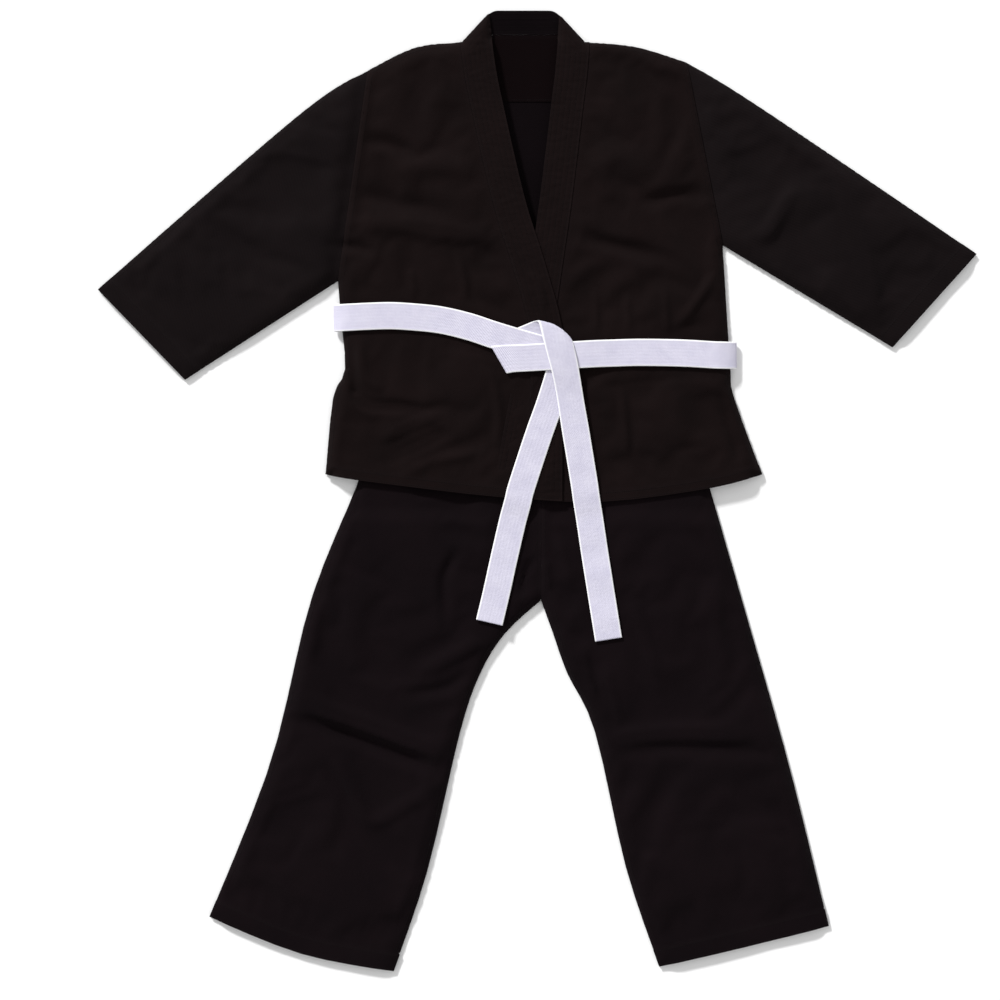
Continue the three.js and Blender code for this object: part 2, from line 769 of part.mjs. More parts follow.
const overPanel = front(overSide, overFree, -(lapelWidth + seat), overFront, cloth);
const underPanel = front(underSide, underFree, lapelWidth + seat, underFront, cloth);
const overHem = front(overSide, overFree, -(lapelWidth + seat), overFront, doubled);
const underHem = front(underSide, underFree, lapelWidth + seat, underFront, doubled);
add('front_right', overPanel.subtract(hemRegion(seat)), jacketCotton);
add('front_left', underPanel.subtract(hemRegion(seat)), jacketCotton);
add('jacket_hem_front_right', overHem.intersect(hemRegion(0)), jacketCotton);
add('jacket_hem_front_left', underHem.intersect(hemRegion(0)), jacketCotton);
add('lapel_right', lapel(overFree, -lapelWidth, overFront), jacketCotton);
add('lapel_left', lapel(underFree, lapelWidth, underFront), jacketCotton);

for (const side of ['right', 'left']) {
  for (const [piece, solid] of Object.entries(sleeveParts(side))) {
    add(`sleeve_${side}_${piece}`, solid, sleeveCotton);
  }
}

const flatSheet = box(-far, -far, far, far, legFront, legFront + cloth);
const gussetCut = gussetRegion(seat);
for (const [side, sign] of [['right', -1], ['left', 1]]) {
  add(`trouser_front_${side}`, thigh(sign, flatSheet), trouserCotton);
  add(`trouser_back_${side}`, thigh(sign, trouserBackSheet()), trouserCotton);
  const hipRim = outerRim(side, sign, insideFloor + cloth + seat, legFront - seat);
  const outerSeam = aboveKnees(hipRim).subtract(bandRegion(seat)).subtract(gussetCut);
  add(`trouser_outer_seam_${side}`, outerSeam, trouserCotton);
  for (const [piece, solid] of Object.entries(lowerLeg(side, sign))) {
    add(`leg_${side}_${piece}`, solid, trouserCotton);
  }
}
add('crotch_gusset', gusset(), trouserCotton);
add('waistband_back', casing(insideFloor), trouserCotton);
add('waistband_front', casing(trouserFront + cloth - casingHeight), trouserCotton);
add('waist_elastic', elasticLoop(insideFloor, trouserFront + cloth - casingHeight), elasticWhite);

add('belt_back_span', backSpan(), beltWhite);
add('belt_side_turn_right', sideTurn(beltSides.right, -1, beltRight), beltWhite);
add('belt_side_turn_left', sideTurn(beltSides.left, 1, beltLeft), beltWhite);
add('belt_span_right', rightSpan(), beltWhite);
add('belt_span_left', leftSpan(), beltWhite);
add('belt_knot_underfold', underFold(), beltWhite);
add('belt_knot_wrap', knotWrap(), beltWhite);
add('belt_tail_root', tailRoot(), beltWhite);
add('belt_tail_right', freeTail('right', -1, 0), beltWhite);
add('belt_tail_left', freeTail('left', 1, 1), beltWhite);

// The origin is the middle of the uniform's plan, on the surface it lies on.
const extent = new THREE.Box3().setFromObject(uniform);
const middle = extent.getCenter(new THREE.Vector3());
uniform.position.set(-middle.x, -middle.y, -extent.min.z);

export default uniform;
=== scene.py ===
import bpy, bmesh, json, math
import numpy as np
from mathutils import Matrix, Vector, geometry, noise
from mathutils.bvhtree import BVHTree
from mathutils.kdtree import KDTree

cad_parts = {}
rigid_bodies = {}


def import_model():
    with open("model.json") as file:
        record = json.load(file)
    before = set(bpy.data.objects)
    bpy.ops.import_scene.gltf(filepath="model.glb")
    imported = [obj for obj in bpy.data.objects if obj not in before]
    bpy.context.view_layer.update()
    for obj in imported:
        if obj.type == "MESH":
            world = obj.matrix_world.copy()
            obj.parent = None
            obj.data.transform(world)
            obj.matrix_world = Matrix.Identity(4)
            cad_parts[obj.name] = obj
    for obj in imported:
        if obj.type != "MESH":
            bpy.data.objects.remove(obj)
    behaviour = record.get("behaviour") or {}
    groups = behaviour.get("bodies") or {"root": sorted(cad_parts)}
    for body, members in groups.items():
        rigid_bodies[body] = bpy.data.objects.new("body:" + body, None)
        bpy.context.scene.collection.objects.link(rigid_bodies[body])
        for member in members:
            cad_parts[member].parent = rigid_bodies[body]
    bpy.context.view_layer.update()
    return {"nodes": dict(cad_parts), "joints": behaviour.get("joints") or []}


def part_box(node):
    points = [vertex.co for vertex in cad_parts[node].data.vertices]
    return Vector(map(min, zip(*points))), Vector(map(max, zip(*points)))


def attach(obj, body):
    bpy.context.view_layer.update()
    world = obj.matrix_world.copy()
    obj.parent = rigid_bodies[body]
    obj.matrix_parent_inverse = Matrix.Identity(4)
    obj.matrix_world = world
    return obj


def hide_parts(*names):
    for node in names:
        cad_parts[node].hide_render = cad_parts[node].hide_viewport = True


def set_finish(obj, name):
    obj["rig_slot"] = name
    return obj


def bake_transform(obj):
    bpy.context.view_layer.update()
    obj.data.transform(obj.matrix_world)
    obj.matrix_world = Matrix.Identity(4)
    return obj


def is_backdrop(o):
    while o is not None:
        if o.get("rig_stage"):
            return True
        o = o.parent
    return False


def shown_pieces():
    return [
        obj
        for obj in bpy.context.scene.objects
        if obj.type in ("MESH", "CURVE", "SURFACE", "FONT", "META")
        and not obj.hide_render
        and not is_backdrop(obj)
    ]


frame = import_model()

# %% [markdown]
# # A martial arts uniform laid flat
# The uniform is a cross-over jacket, elastic-waist trousers and a tied belt, laid out on its back.
# Its pattern pieces are cut from the plan of the CAD panels, because those hold the true sizes.
# Each one becomes a fine mesh of cloth, gets its height from how the plies lie on each other,
# and is then relaxed by a short cloth simulation, which gives it the small natural ripples that
# are hard to draw by hand. Everything is worked out in millimetres and made in metres.

MM = 0.001
SIDES = ("right", "left")        # the wearer's
bpy.ops.object.select_all(action="DESELECT")

# %% [markdown]
# ## Floor, light and camera
# The uniform is looked at from straight above, as a flat lay is. A long lens keeps the hems and
# cuffs from leaning outwards. One broad light comes low from the collar's left, like a window,
# so that the soft shadow falls to the other side, and a pale world fills in the rest.

# %% Floor, lights and camera
def place_object(name, data):
    """An object for a mesh, light or camera, put in the scene at the origin."""
    placed = bpy.data.objects.new(name, data)
    bpy.context.scene.collection.objects.link(placed)
    return placed


def studio_floor(size, height):
    bpy.ops.mesh.primitive_plane_add(size=size, location=(0, 0, height))
    floor = bpy.context.object
    floor.name = "studio_floor"
    floor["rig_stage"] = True
    bpy.ops.object.select_all(action="DESELECT")
    return floor


def broad_light(name, place, softness, strength):
    """An even light from one direction, aimed at the origin. softness is its width in degrees."""
    data = bpy.data.lights.new(name, "SUN")
    data.angle, data.energy = math.radians(softness), strength
    lamp = place_object(name, data)
    lamp.location = place
    lamp.rotation_euler = (-Vector(place)).to_track_quat("-Z", "Y").to_euler()
    return lamp


CAMERA_CENTRE = (-0.0550, -0.0137)
FRAME_WIDTH = 1.480
LENS, SENSOR = 85.0, 36.0
FLOOR_SIZE, FLOOR_HEIGHT = 60.0, -0.0006
ROOM_STRENGTH = 0.66

floor = studio_floor(FLOOR_SIZE, FLOOR_HEIGHT)
broad_light("window", (-0.8, 1.25, 0.76), softness=7, strength=3.6)

scene = bpy.context.scene
lens = bpy.data.cameras.new("camera")
lens.lens, lens.sensor_width = LENS, SENSOR
lens.clip_end = 50
camera = place_object("camera", lens)
camera.location = (*CAMERA_CENTRE, FRAME_WIDTH / 2 / (SENSOR / 2 / LENS))
scene.camera = camera

world = bpy.data.worlds.new("pale_room")
world.use_nodes = True
background = world.node_tree.nodes["Background"].inputs
background["Color"].default_value = (1.0, 1.0, 1.0, 1)
background["Strength"].default_value = ROOM_STRENGTH
scene.world = world
scene.view_settings.view_transform = "Standard"
print("camera height:", round(camera.location.z, 3), "m")

# %% [markdown]
# ## Outlines from the CAD panels
# A cutter starts from the pattern's outline. Here the outline of each CAD panel is the rim of
# the faces that look up. It is walked round once and divided into even steps, keeping corners.

# %% Outlines
def outline(node):
    """The closed outline of a CAD panel seen from above, in mm."""
    shape = bmesh.new()
    shape.from_mesh(frame["nodes"][node].data)
    bmesh.ops.remove_doubles(shape, verts=shape.verts, dist=2e-5)
    shape.normal_update()
    tops = [f for f in shape.faces if f.normal.z > 0.3]
    up = set(tops)               # only looked in: a walk over it has a new order in each run
    after = {}
    for face in tops:
        for loop in face.loops:
            other = [f for f in loop.edge.link_faces if f is not face]
            if not other or other[0] not in up:
                after[loop.vert.index] = loop.link_loop_next.vert.index
    shape.verts.ensure_lookup_table()
    loops = []
    while after:
        start = next(iter(after))
        walk, here = [start], after.pop(start)
        while here != start and here in after:
            walk.append(here)
            here = after.pop(here)
        loops.append(np.array([shape.verts[i].co[:2] for i in walk]) / MM)
    shape.free()
    return max(loops, key=area_of)


def area_of(loop):
    x, y = loop[:, 0], loop[:, 1]
    return abs(float(np.dot(x, np.roll(y, -1)) - np.dot(y, np.roll(x, -1)))) / 2


SHORTEST_SIDE = 0.05             # a side of an outline shorter than this, in mm, is passed over


def even(loop, step, closed=True):
    """The loop in equal steps, with its corners kept."""
    ends = np.vstack([loop, loop[:1]]) if closed else loop
    made = []
    for p, q in zip(ends[:-1], ends[1:]):
        length = np.linalg.norm(q - p)
        if length < SHORTEST_SIDE:
            continue
        n = max(1, int(round(length / step)))
        made += [p + (q - p) * k / n for k in range(n)]
    if not closed:
        made.append(ends[-1])
    return thin(np.array(made), step)


def thin(points, step):
    """Points that crowd closer than half a step are dropped."""
    kept = [points[0]]
    for p in points[1:]:
        if np.linalg.norm(p - kept[-1]) > step * 0.5:
            kept.append(p)
    if len(kept) > 3 and np.linalg.norm(kept[0] - kept[-1]) < step * 0.5:
        kept.pop()
    return np.array(kept)


def tree_of(points):
    tree = KDTree(len(points))
    for i, p in enumerate(points):
        tree.insert((p[0], p[1], 0), i)
    tree.balance()
    return tree


def distance(points, tree):
    return np.array([tree.find((p[0], p[1], 0))[2] for p in points])


def joined(a, b, gap=3.0):
    """One outline from two that share an edge, as at a knee, where the real cloth has no seam."""
    a, b = even(a, 2.0), even(b, 2.0)
    chains = []
    for own, other in ((a, b), (b, a)):
        free = distance(own, tree_of(even(other, 0.5))) > gap
        start = next(i for i in range(len(own)) if free[i] and not free[i - 1])
        order = [(start + k) % len(own) for k in range(len(own))]
        run = [i for i in order if free[i]]
        chains.append(own[run])
    return np.vstack(chains)


def grown(loop, by):
    """The outline moved outwards by a little, so that a hem meets the panel that it ends."""
    before, after = np.roll(loop, 1, axis=0), np.roll(loop, -1, axis=0)
    along = [(q - p) / (np.linalg.norm(q - p) + 1e-9) for p, q in zip(before, after)]
    side = np.array([(a[1], -a[0]) for a in along])
    x, y = loop[:, 0], loop[:, 1]
    turning = np.sign(np.dot(x, np.roll(y, -1)) - np.dot(y, np.roll(x, -1)))
    return loop + side * by * turning


def both(*patterns):
    """Node names for the two sides, from patterns that have {} where the side goes."""
    return [pattern.format(side) for pattern in patterns for side in SIDES]


GROUPS = {
    "jacket": both("front_{}", "jacket_hem_front_{}", "lapel_{}", "sleeve_{}_front",
                   "sleeve_{}_cuff_front"),
    "trousers": both("trouser_front_{}", "leg_{}_front", "leg_{}_hem_front"),
}
SEAMS = {
    "jacket": both("shoulder_seam_{}", "side_seam_{}", "sleeve_{}_top_fold",
                   "sleeve_{}_underarm_seam"),
    "trousers": both("trouser_outer_seam_{}", "leg_{}_outer_seam", "leg_{}_inner_seam")
    + ["crotch_gusset"],
}
HEM_OVERLAP = 0.5                # how far a hem is grown to meet its panel, in mm
NECK_JOIN = 668                  # y above which the lapels are sewn to the band behind the neck
cut = {node: outline(node) for names in GROUPS.values() for node in names}


def inside(points, loop):
    x, y = points[:, 0][:, None], points[:, 1][:, None]
    a, b = loop, np.roll(loop, -1, axis=0)
    crosses = (a[:, 1] > y) != (b[:, 1] > y)
    slope = (b[:, 0] - a[:, 0]) * (y - a[:, 1]) / (b[:, 1] - a[:, 1] + 1e-12) + a[:, 0]
    return (crosses & (x < slope)).sum(1) % 2 == 1


def beside_floor(points, loops, reach=2.4):
    """Which points have open floor near them, rather than a panel on every side."""
    bare = np.zeros(len(points), bool)
    for angle in np.arange(8) * math.pi / 4:
        moved = points + reach * np.array([math.cos(angle), math.sin(angle)])
        bare |= ~np.any([inside(moved, loop) for loop in loops], axis=0)
    return bare


def closed_edges(group):
    """Where the front and back plies are sewn together: the seam's own outer edge."""
    panels = tree_of(np.vstack([even(cut[n], 1.0) for n in GROUPS[group]]))
    covered = [grown(cut[n], HEM_OVERLAP) for n in GROUPS[group]]
    found = []
    for node in SEAMS[group]:
        rim = even(outline(node), 2.0)
        rim = rim[distance(rim, panels) < 1.3]
        found.append(rim[beside_floor(rim, covered)])
    if group == "jacket":
        for side in SIDES:
            rim = even(cut[f"lapel_{side}"], 2.0)
            found.append(rim[rim[:, 1] > NECK_JOIN])
    return np.vstack(found)


def armhole_of(side):
    """The sleeve's rim where it meets the front."""
    rim = even(cut[f"sleeve_{side}_front"], 1.5)
    return tree_of(rim[distance(rim, tree_of(even(cut[f"front_{side}"], 1.0))) < 1.2])


edges_of = {g: closed_edges(g) for g in GROUPS}
edge_tree = {g: tree_of(p) for g, p in edges_of.items()}
armhole = {side: armhole_of(side) for side in SIDES}
print("edge points:", {g: len(p) for g, p in edges_of.items()})

# %% [markdown]
# ## How high the cloth lies
# A sewn edge lies near the floor, and the front ply rises from it in a soft round to its full
# height. Folds are long low ridges or valleys along a line. Each is given by the points that it
# passes, its half width and its height, which is negative for a valley.

# %% Heights and folds
LAY = np.array([2.7, -0.4])      # from the garment's own centre lines to the part's frame
EDGE_LOW = 2.7                   # middle of the front ply where it is sewn to the back
ROUND = {"jacket": 24.0, "trousers": 22.0}           # how far in the cloth is level
FOLD_DEPTH = {"jacket": 2.1, "trousers": 1.9}        # what the heights below are multiplied by
FOLD_SHARPNESS = 1.12            # over 1 makes every fold narrower than its half width says
FOLD_FADE = 0.35                 # share of a fold's length over which its ends die away

FOLDS = {
    "jacket": [
        # points, half width, height
        ([(431, 495), (470, 370), (505, 243)], 12, 3.4),
        ([(376, 451), (352, 405), (327, 361)], 11, 3.0),
        ([(401, 342), (440, 290), (485, 233)], 9, 2.2),
        ([(-284, 441), (-200, 425), (-117, 411)], 15, -2.8),
        ([(-295, 396), (-180, 388), (-50, 371)], 16, 3.0),
        ([(-300, 364), (-270, 360), (-240, 350)], 9, -3.0),
        ([(-262, 520), (-222, 512), (-180, 498)], 12, -2.4),
        ([(-230, 470), (-150, 478), (-90, 470)], 16, 2.2),
        ([(60, 378), (120, 360), (185, 346)], 12, -3.0),
        ([(75, 470), (120, 490), (165, 455)], 20, 2.8),
        ([(140, 425), (200, 436), (262, 440)], 12, -2.4),
        ([(180, 302), (186, 275), (190, 226)], 5, 2.2),
        ([(268, 332), (232, 280), (199, 236)], 8, 2.4),
        ([(128, 290), (132, 255), (134, 226)], 5, 1.8),
        ([(80, 300), (84, 268), (84, 226)], 5, 1.5),
        ([(-120, 345), (-110, 310), (-108, 280)], 6, 1.6),
        ([(-190, 330), (-186, 300), (-184, 280)], 6, 1.6),
        ([(-282, 232), (-275, 160), (-250, 128), (-167, 124)], 8, -4.4),
        ([(-268, 228), (-255, 170), (-225, 146)], 8, 2.6),
        ([(-240, 72), (-190, 96), (-140, 116)], 9, 3.2),
        ([(-232, 42), (-180, 66), (-128, 90)], 10, -2.8),
        ([(-210, 20), (-150, 44), (-90, 56)], 10, 1.8),
        ([(120, 156), (127, 100), (130, 44)], 7, 2.0),
        ([(268, 150), (284, 90), (300, 30)], 10, -3.2),
        ([(296, 110), (312, 60), (322, 14)], 7, 2.2),
        ([(200, 150), (205, 100), (215, 60)], 12, 1.6),
        ([(-70, 165), (-60, 120), (-62, 60)], 8, 1.6),
        ([(-20, 330), (0, 300), (10, 262)], 6, 1.5),
    ],
    "trousers": [
        ([(-373, -304), (-250, -346), (-127, -393)], 13, 5.0),
        ([(-368, -328), (-250, -373), (-132, -418)], 13, -5.0),
        ([(-305, -388), (-276, -440), (-246, -487), (-190, -460), (-127, -417)], 12, 2.6),
        ([(-117, -83), (-140, -130), (-137, -191)], 9, -3.0),
        ([(-186, -270), (-130, -245), (-67, -211)], 12, 3.0),
        ([(-200, -300), (-140, -290), (-95, -262)], 10, -2.2),
        ([(135, -161), (158, -220), (175, -280)], 9, 3.0),
        ([(95, -250), (108, -295), (120, -339)], 7, 2.6),
        ([(72, -235), (84, -280), (96, -325)], 6, -2.2),
        ([(90, -388), (200, -380), (346, -388)], 13, -2.2),
        ([(95, -366), (200, -356), (330, -362)], 14, 1.8),
        ([(149, -536), (172, -548), (198, -565)], 9, 2.6),
        ([(28, -60), (40, -110), (52, -150)], 9, 2.0),
        ([(-28, -60), (-36, -105), (-42, -150)], 8, 2.0),
        ([(-8, -95), (-20, -125), (-30, -160)], 5, -2.4),
        ([(8, -100), (14, -130), (16, -150)], 4, 2.0),
        ([(250, -120), (262, -200), (280, -290)], 16, 1.4),
        ([(-250, -120), (-275, -200), (-300, -270)], 18, 1.4),
        ([(-420, -560), (-330, -590), (-240, -640)], 22, 1.4),
        ([(300, -480), (330, -560), (350, -640)], 20, 1.4),
        ([(-70, 100), (-74, 60), (-84, 10)], 7, 2.0),
        ([(60, 100), (62, 60), (70, 5)], 7, 2.0),
        ([(-140, 100), (-146, 60), (-160, 20)], 7, 1.8),
        ([(130, 100), (134, 60), (146, 20)], 7, 1.8),
    ],
}


def ease(t):
    t = np.clip(t, 0, 1)
    return t * t * (3 - 2 * t)


def rounded(t):
    """A quarter of an ellipse: straight up at 0 and level at 1."""
    t = np.clip(t, 0, 1)
    return np.sqrt(np.maximum(0, 1 - (1 - t) ** 2))


def line_of(points, steps=24):
    """A smooth line through a few points, as evenly spaced steps."""
    p = np.array(points, float)
    if len(p) < 3:
        return p[0] + (p[-1] - p[0]) * np.linspace(0, 1, steps)[:, None]
    ends = np.vstack([2 * p[0] - p[1], p, 2 * p[-1] - p[-2]])
    made = []
    for i in range(1, len(ends) - 2):
        a, b, c, d = ends[i - 1:i + 3]
        for t in np.linspace(0, 1, steps, endpoint=False):
            made.append(0.5 * (2 * b + (c - a) * t + (2 * a - 5 * b + 4 * c - d) * t * t
                               + (3 * b - a - 3 * c + d) * t ** 3))
    return np.array(made + [p[-1]])


def fold_heights(points, group):
    """Sum of the folds at each point, in mm."""
    total = np.zeros(len(points))
    for track, width, height in FOLDS[group]:
        line = even(line_of(np.array(track, float) + LAY, 10), 2.0, closed=False)
        near = ((points[:, None, :] - line[None, :, :]) ** 2).sum(2)
        best = near.argmin(1)
        d = np.sqrt(near.min(1)) * FOLD_SHARPNESS
        along = best / (len(line) - 1)
        taper = ease(np.minimum(along, 1 - along) / FOLD_FADE + 0.12)
        total += height * taper * np.exp(-(d / width) ** 2)
    return total


def ripples(points, scale, seed):
    """Slow unevenness of cloth that has been worn and pressed, from -1 to 1."""
    return np.array([
        noise.noise((p[0] / scale, p[1] / scale, seed)) + 0.5
        * noise.noise((p[0] / scale * 2.3, p[1] / scale * 2.3, seed + 9.1)) for p in points
    ])


BELT, BELT_THICK = 40.0, 1.8


def under_belt(points):
    """1 where the belt presses on the jacket, fading out beside it."""
    span = np.array([(-300, 255), (-221, 258), (-147, 252), (-65, 229), (0, 205),
                     (58, 201), (149, 204), (299, 200)], float) + LAY
    y = np.interp(points[:, 0], span[:, 0], span[:, 1])
    return 1 - ease((abs(points[:, 1] - y) - BELT / 2) / 26)


def under_tails(points):
    """1 where a free tail of the belt lies on the cloth."""
    total = np.zeros(len(points))
    for track in ([(53, 110), (66, 10), (82, -92), (102.3, -222)],
                  [(22, 150), (1, 88), (-27, 1), (-52, -100), (-73.5, -197)]):
        line = line_of(np.array(track, float) + LAY, 40)
        total = np.maximum(total, 1 - ease((distance(points, tree_of(line)) - 21) / 12))
    return total


# %% [markdown]
# ## Full height of each ply
# The trousers' waist lies inside the jacket's skirt, so the jacket is thicker there. Open ends,
# which are the cuffs and the trouser hems, lie flatter than the tube behind them.

# %% Ply heights
OPEN_END = {"jacket": ("sleeve_{}_cuff_front", 7.5), "trousers": ("leg_{}_hem_front", 8.0)}
END_REACH = 110                  # how far from an open end the tube starts to flatten, in mm
SLEEVE_FULL, ARMHOLE_DIP = 11.5, 4.4
JACKET_FULL, SKIRT_RISE, OVERLAP_RISE = 11.4, 3.2, 1.9
TROUSERS_FULL, SKIRT_PRESS = 11.8, 2.2
JACKET_HEM = -52                 # y from which the trousers lie inside the jacket's skirt
end_trees = {g: [tree_of(even(cut[n], 3.0)) for n in both(node)]
             for g, (node, _) in OPEN_END.items()}


def in_skirt(y):
    """0 on the open trousers, 1 where they lie inside the jacket's skirt."""
    return ease((y - JACKET_HEM) / 30)


def full_height(points, group, panel):
    y = points[:, 1]
    if group == "trousers":
        full = TROUSERS_FULL - SKIRT_PRESS * in_skirt(y)
    elif panel.startswith("sleeve"):
        full = np.full(len(points), SLEEVE_FULL)
    else:
        full = JACKET_FULL + SKIRT_RISE * (1 - ease((y - 170) / 120))
        if panel.endswith("right"):
            full = full + OVERLAP_RISE
    for tree in end_trees[group]:
        share = 1 - ease(distance(points, tree) / END_REACH)
        full = full + (OPEN_END[group][1] - full) * share
    return full


WAIST_IN_JACKET = 150            # y up to which the trousers lie inside the jacket's skirt
TROUSER_CEILING = 10.6           # highest middle of their front ply there
CEILINGS = {"sleeve": 17.0, "front": 21.0, "lapel": 21.0, "jacket": 21.0, "trouser": 16.4,
            "leg": 16.4}         # highest middle elsewhere, so that what folds over lies clear
LOWEST, LOWEST_IN_SKIRT = 2.2, 3.8       # lowest middle of a front ply
BELT_UNDERSIDE, TAIL_UNDERSIDE = 17.7, 14.2      # nothing under the belt or a tail is higher
HALF_PLY, AIR = 0.5, 0.35        # what keeps the skirt clear of the trousers inside it


def limits(points, group, thickness, over, ceiling):
    """Lowest and highest middle of a front ply, so that no ply passes through another."""
    y = points[:, 1]
    low, high = np.full(len(points), LOWEST), np.full(len(points), ceiling)
    inset = distance(points, edge_tree[group])
    pressed = under_tails(points)
    if group == "jacket":
        pressed = np.maximum(pressed, under_belt(points))
        on_trousers = TROUSER_CEILING + HALF_PLY + AIR + thickness / 2 + 1.7 * over
        low = np.where(y < WAIST_IN_JACKET + 6, on_trousers, low)
        low = np.where(inset < 30, LOWEST, low)
        high = np.where(pressed > 0.3, BELT_UNDERSIDE - thickness / 2, high)
    else:
        high = ceiling + (TROUSER_CEILING - ceiling) * in_skirt(y)
        low = np.where((y > JACKET_HEM - 4) & (inset > 20), LOWEST_IN_SKIRT, low)
        high = np.where((pressed > 0.3) & (y < -20), TAIL_UNDERSIDE - thickness / 2, high)
    return low, high


def between_limits(z, low, high):
    """Eases the heights into their limits instead of cutting them off."""
    z = 0.5 * (z + low + np.sqrt((z - low) ** 2 + 0.3))
    return 0.5 * (z + high - np.sqrt((z - high) ** 2 + 0.3))


def front_height(points, group, panel):
    """Middle of the front ply, in mm above the floor."""
    full = full_height(points, group, panel)
    inset = distance(points, edge_tree[group])
    swell = 1 + 0.18 * ripples(points, 130, 3.3)
    shape = rounded(inset / (ROUND[group] * swell))
    wave = FOLD_DEPTH[group] * fold_heights(points, group) + 1.1 * ripples(points, 95, 7.7)
    wave *= 1 - 0.85 * under_tails(points)
    if group == "jacket":
        wave *= 1 - under_belt(points)
        valley = distance(points, armhole["right" if "right" in panel else "left"])
        if panel.startswith("sleeve"):
            full = full - ARMHOLE_DIP * np.exp(-(valley / 16) ** 2)
        elif panel.startswith("front"):
            edge = SLEEVE_FULL - ARMHOLE_DIP
            full = edge + (full - edge) * rounded((valley + 0.5) / 9)
    calm = ease(inset / 30)
    return EDGE_LOW + (full - EDGE_LOW) * shape + wave * calm


def back_height(points, group, low):
    """Middle of the back ply: flat on what it lies on, curling up a little at sewn edges."""
    inset = distance(points, edge_tree[group])
    return low + (EDGE_LOW - 0.9 - 0.55) * (1 - rounded(inset / 9)) * (low < 1.5)


# %% [markdown]
# ## Cloth panels
# A panel is a fine net of triangles inside its outline. The inner points sit on a honeycomb,
# because a net without long straight rows ripples evenly in every direction. The UV map holds
# the flat cloth in metres, turned to the grain, so that the weave follows the cloth.

# %% Making a panel
def net(loop, step):
    """Points and triangles inside a loop."""
    rim = even(loop, step)
    low, high = rim.min(0), rim.max(0)
    rows = []
    for j, y in enumerate(np.arange(low[1], high[1], step * 0.866)):
        xs = np.arange(low[0] + (j % 2) * step / 2, high[0], step)
        rows.append(np.stack([xs, np.full(len(xs), y)], 1))
    grid = np.vstack(rows)
    grid = grid[inside(grid, rim)]
    grid = grid[distance(grid, tree_of(even(loop, step / 2))) > step * 0.55]
    points = np.vstack([rim, grid])
    sides = [(i, (i + 1) % len(rim)) for i in range(len(rim))]
    out = geometry.delaunay_2d_cdt([Vector(p) for p in points], sides, [], 1, 1e-4)
    return np.array([tuple(p) for p in out[0]]), out[2]


def turned(points, grain):
    """The flat cloth's two coordinates, along and across its threads."""
    turn = math.radians(grain)
    x, y = points[:, 0], points[:, 1]
    return (x * math.cos(turn) + y * math.sin(turn), y * math.cos(turn) - x * math.sin(turn))


def face_outwards(mesh, points_in):
    """Makes the faces agree, and turns them all round if points_in says that they look inwards."""
    shape = bmesh.new()
    shape.from_mesh(mesh)
    bmesh.ops.recalc_face_normals(shape, faces=shape.faces)
    if points_in(shape):
        bmesh.ops.reverse_faces(shape, faces=shape.faces)
    shape.to_mesh(mesh)
    shape.free()


def cloth_mesh(name, points, heights, triangles, grain=0.0):
    mesh = bpy.data.meshes.new(name)
    where = np.column_stack([points, heights]) * MM
    mesh.from_pydata([tuple(p) for p in where], [], [tuple(t) for t in triangles])
    u, v = turned(points * MM, grain)
    layer = mesh.uv_layers.new(name="flat_cloth")
    for loop in mesh.loops:
        layer.data[loop.index].uv = (u[loop.vertex_index], v[loop.vertex_index])
    face_outwards(mesh, lambda shape: sum(f.normal.z for f in shape.faces) < 0)
    return place_object(name, mesh)


# %% [markdown]
# ## Settling the cloth
# A pressed garment is never quite flat: it was sewn with a little ease, which shows as shallow
# ripples between the seams. Blender's cloth gives them: the sewn edges are held, the cloth is
# let grow by one or two per cent, and it buckles. How far a point may move is capped.

# %% The cloth simulation
SETTLE_FRAMES = 18
SIDEWAYS = 0.6                   # share of the movement across the floor that is kept


def settle_cloth(piece, held, growth, cap):
    """Lets a panel buckle between its held points. held is a weight for each vertex."""
    before = np.array([v.co for v in piece.data.vertices])
    group = piece.vertex_groups.new(name="held")
    for i, weight in enumerate(held):
        if weight > 0.01:
            group.add([i], float(weight), "REPLACE")
    modifier = piece.modifiers.new("settle", "CLOTH")
    settings = modifier.settings
    settings.quality = 4
    settings.mass = 0.3
    settings.tension_stiffness = settings.compression_stiffness = 20
    settings.shear_stiffness = 8
    settings.bending_stiffness = 2.0
    settings.tension_damping = settings.compression_damping = 20
    settings.air_damping = 4
    settings.vertex_group_mass = "held"
    settings.shrink_min = -growth
    settings.effector_weights.gravity = 0.0
    modifier.collision_settings.use_collision = False
    modifier.point_cache.frame_start = 1
    modifier.point_cache.frame_end = SETTLE_FRAMES
    for step in range(1, SETTLE_FRAMES + 1):
        bpy.context.scene.frame_set(step)
    shaped = piece.evaluated_get(bpy.context.evaluated_depsgraph_get()).to_mesh()
    after = np.array([v.co for v in shaped.vertices])
    piece.evaluated_get(bpy.context.evaluated_depsgraph_get()).to_mesh_clear()
    piece.modifiers.remove(modifier)
    bpy.context.scene.frame_set(1)
    piece.vertex_groups.clear()
    move = smoothed(piece, after - before, 2)
    move[:, 2] = cap * MM * np.tanh(move[:, 2] / (cap * MM))
    move[:, :2] *= SIDEWAYS
    piece.data.vertices.foreach_set("co", (before + move).astype(np.float32).ravel())
    piece.data.update()
    print(f"{piece.name}: {len(before)} points settled, up to {abs(move[:, 2]).max() / MM:.1f} mm")


def smoothed(piece, values, rounds):
    ends = np.zeros(len(piece.data.edges) * 2, np.int32)
    piece.data.edges.foreach_get("vertices", ends)
    a, b = ends.reshape(-1, 2).T
    count = np.bincount(np.concatenate([a, b]), minlength=len(values))[:, None]
    for _ in range(rounds):
        total = np.zeros_like(values)
        np.add.at(total, a, values[b])
        np.add.at(total, b, values[a])
        values = 0.5 * values + 0.5 * total / np.maximum(count, 1)
    return values


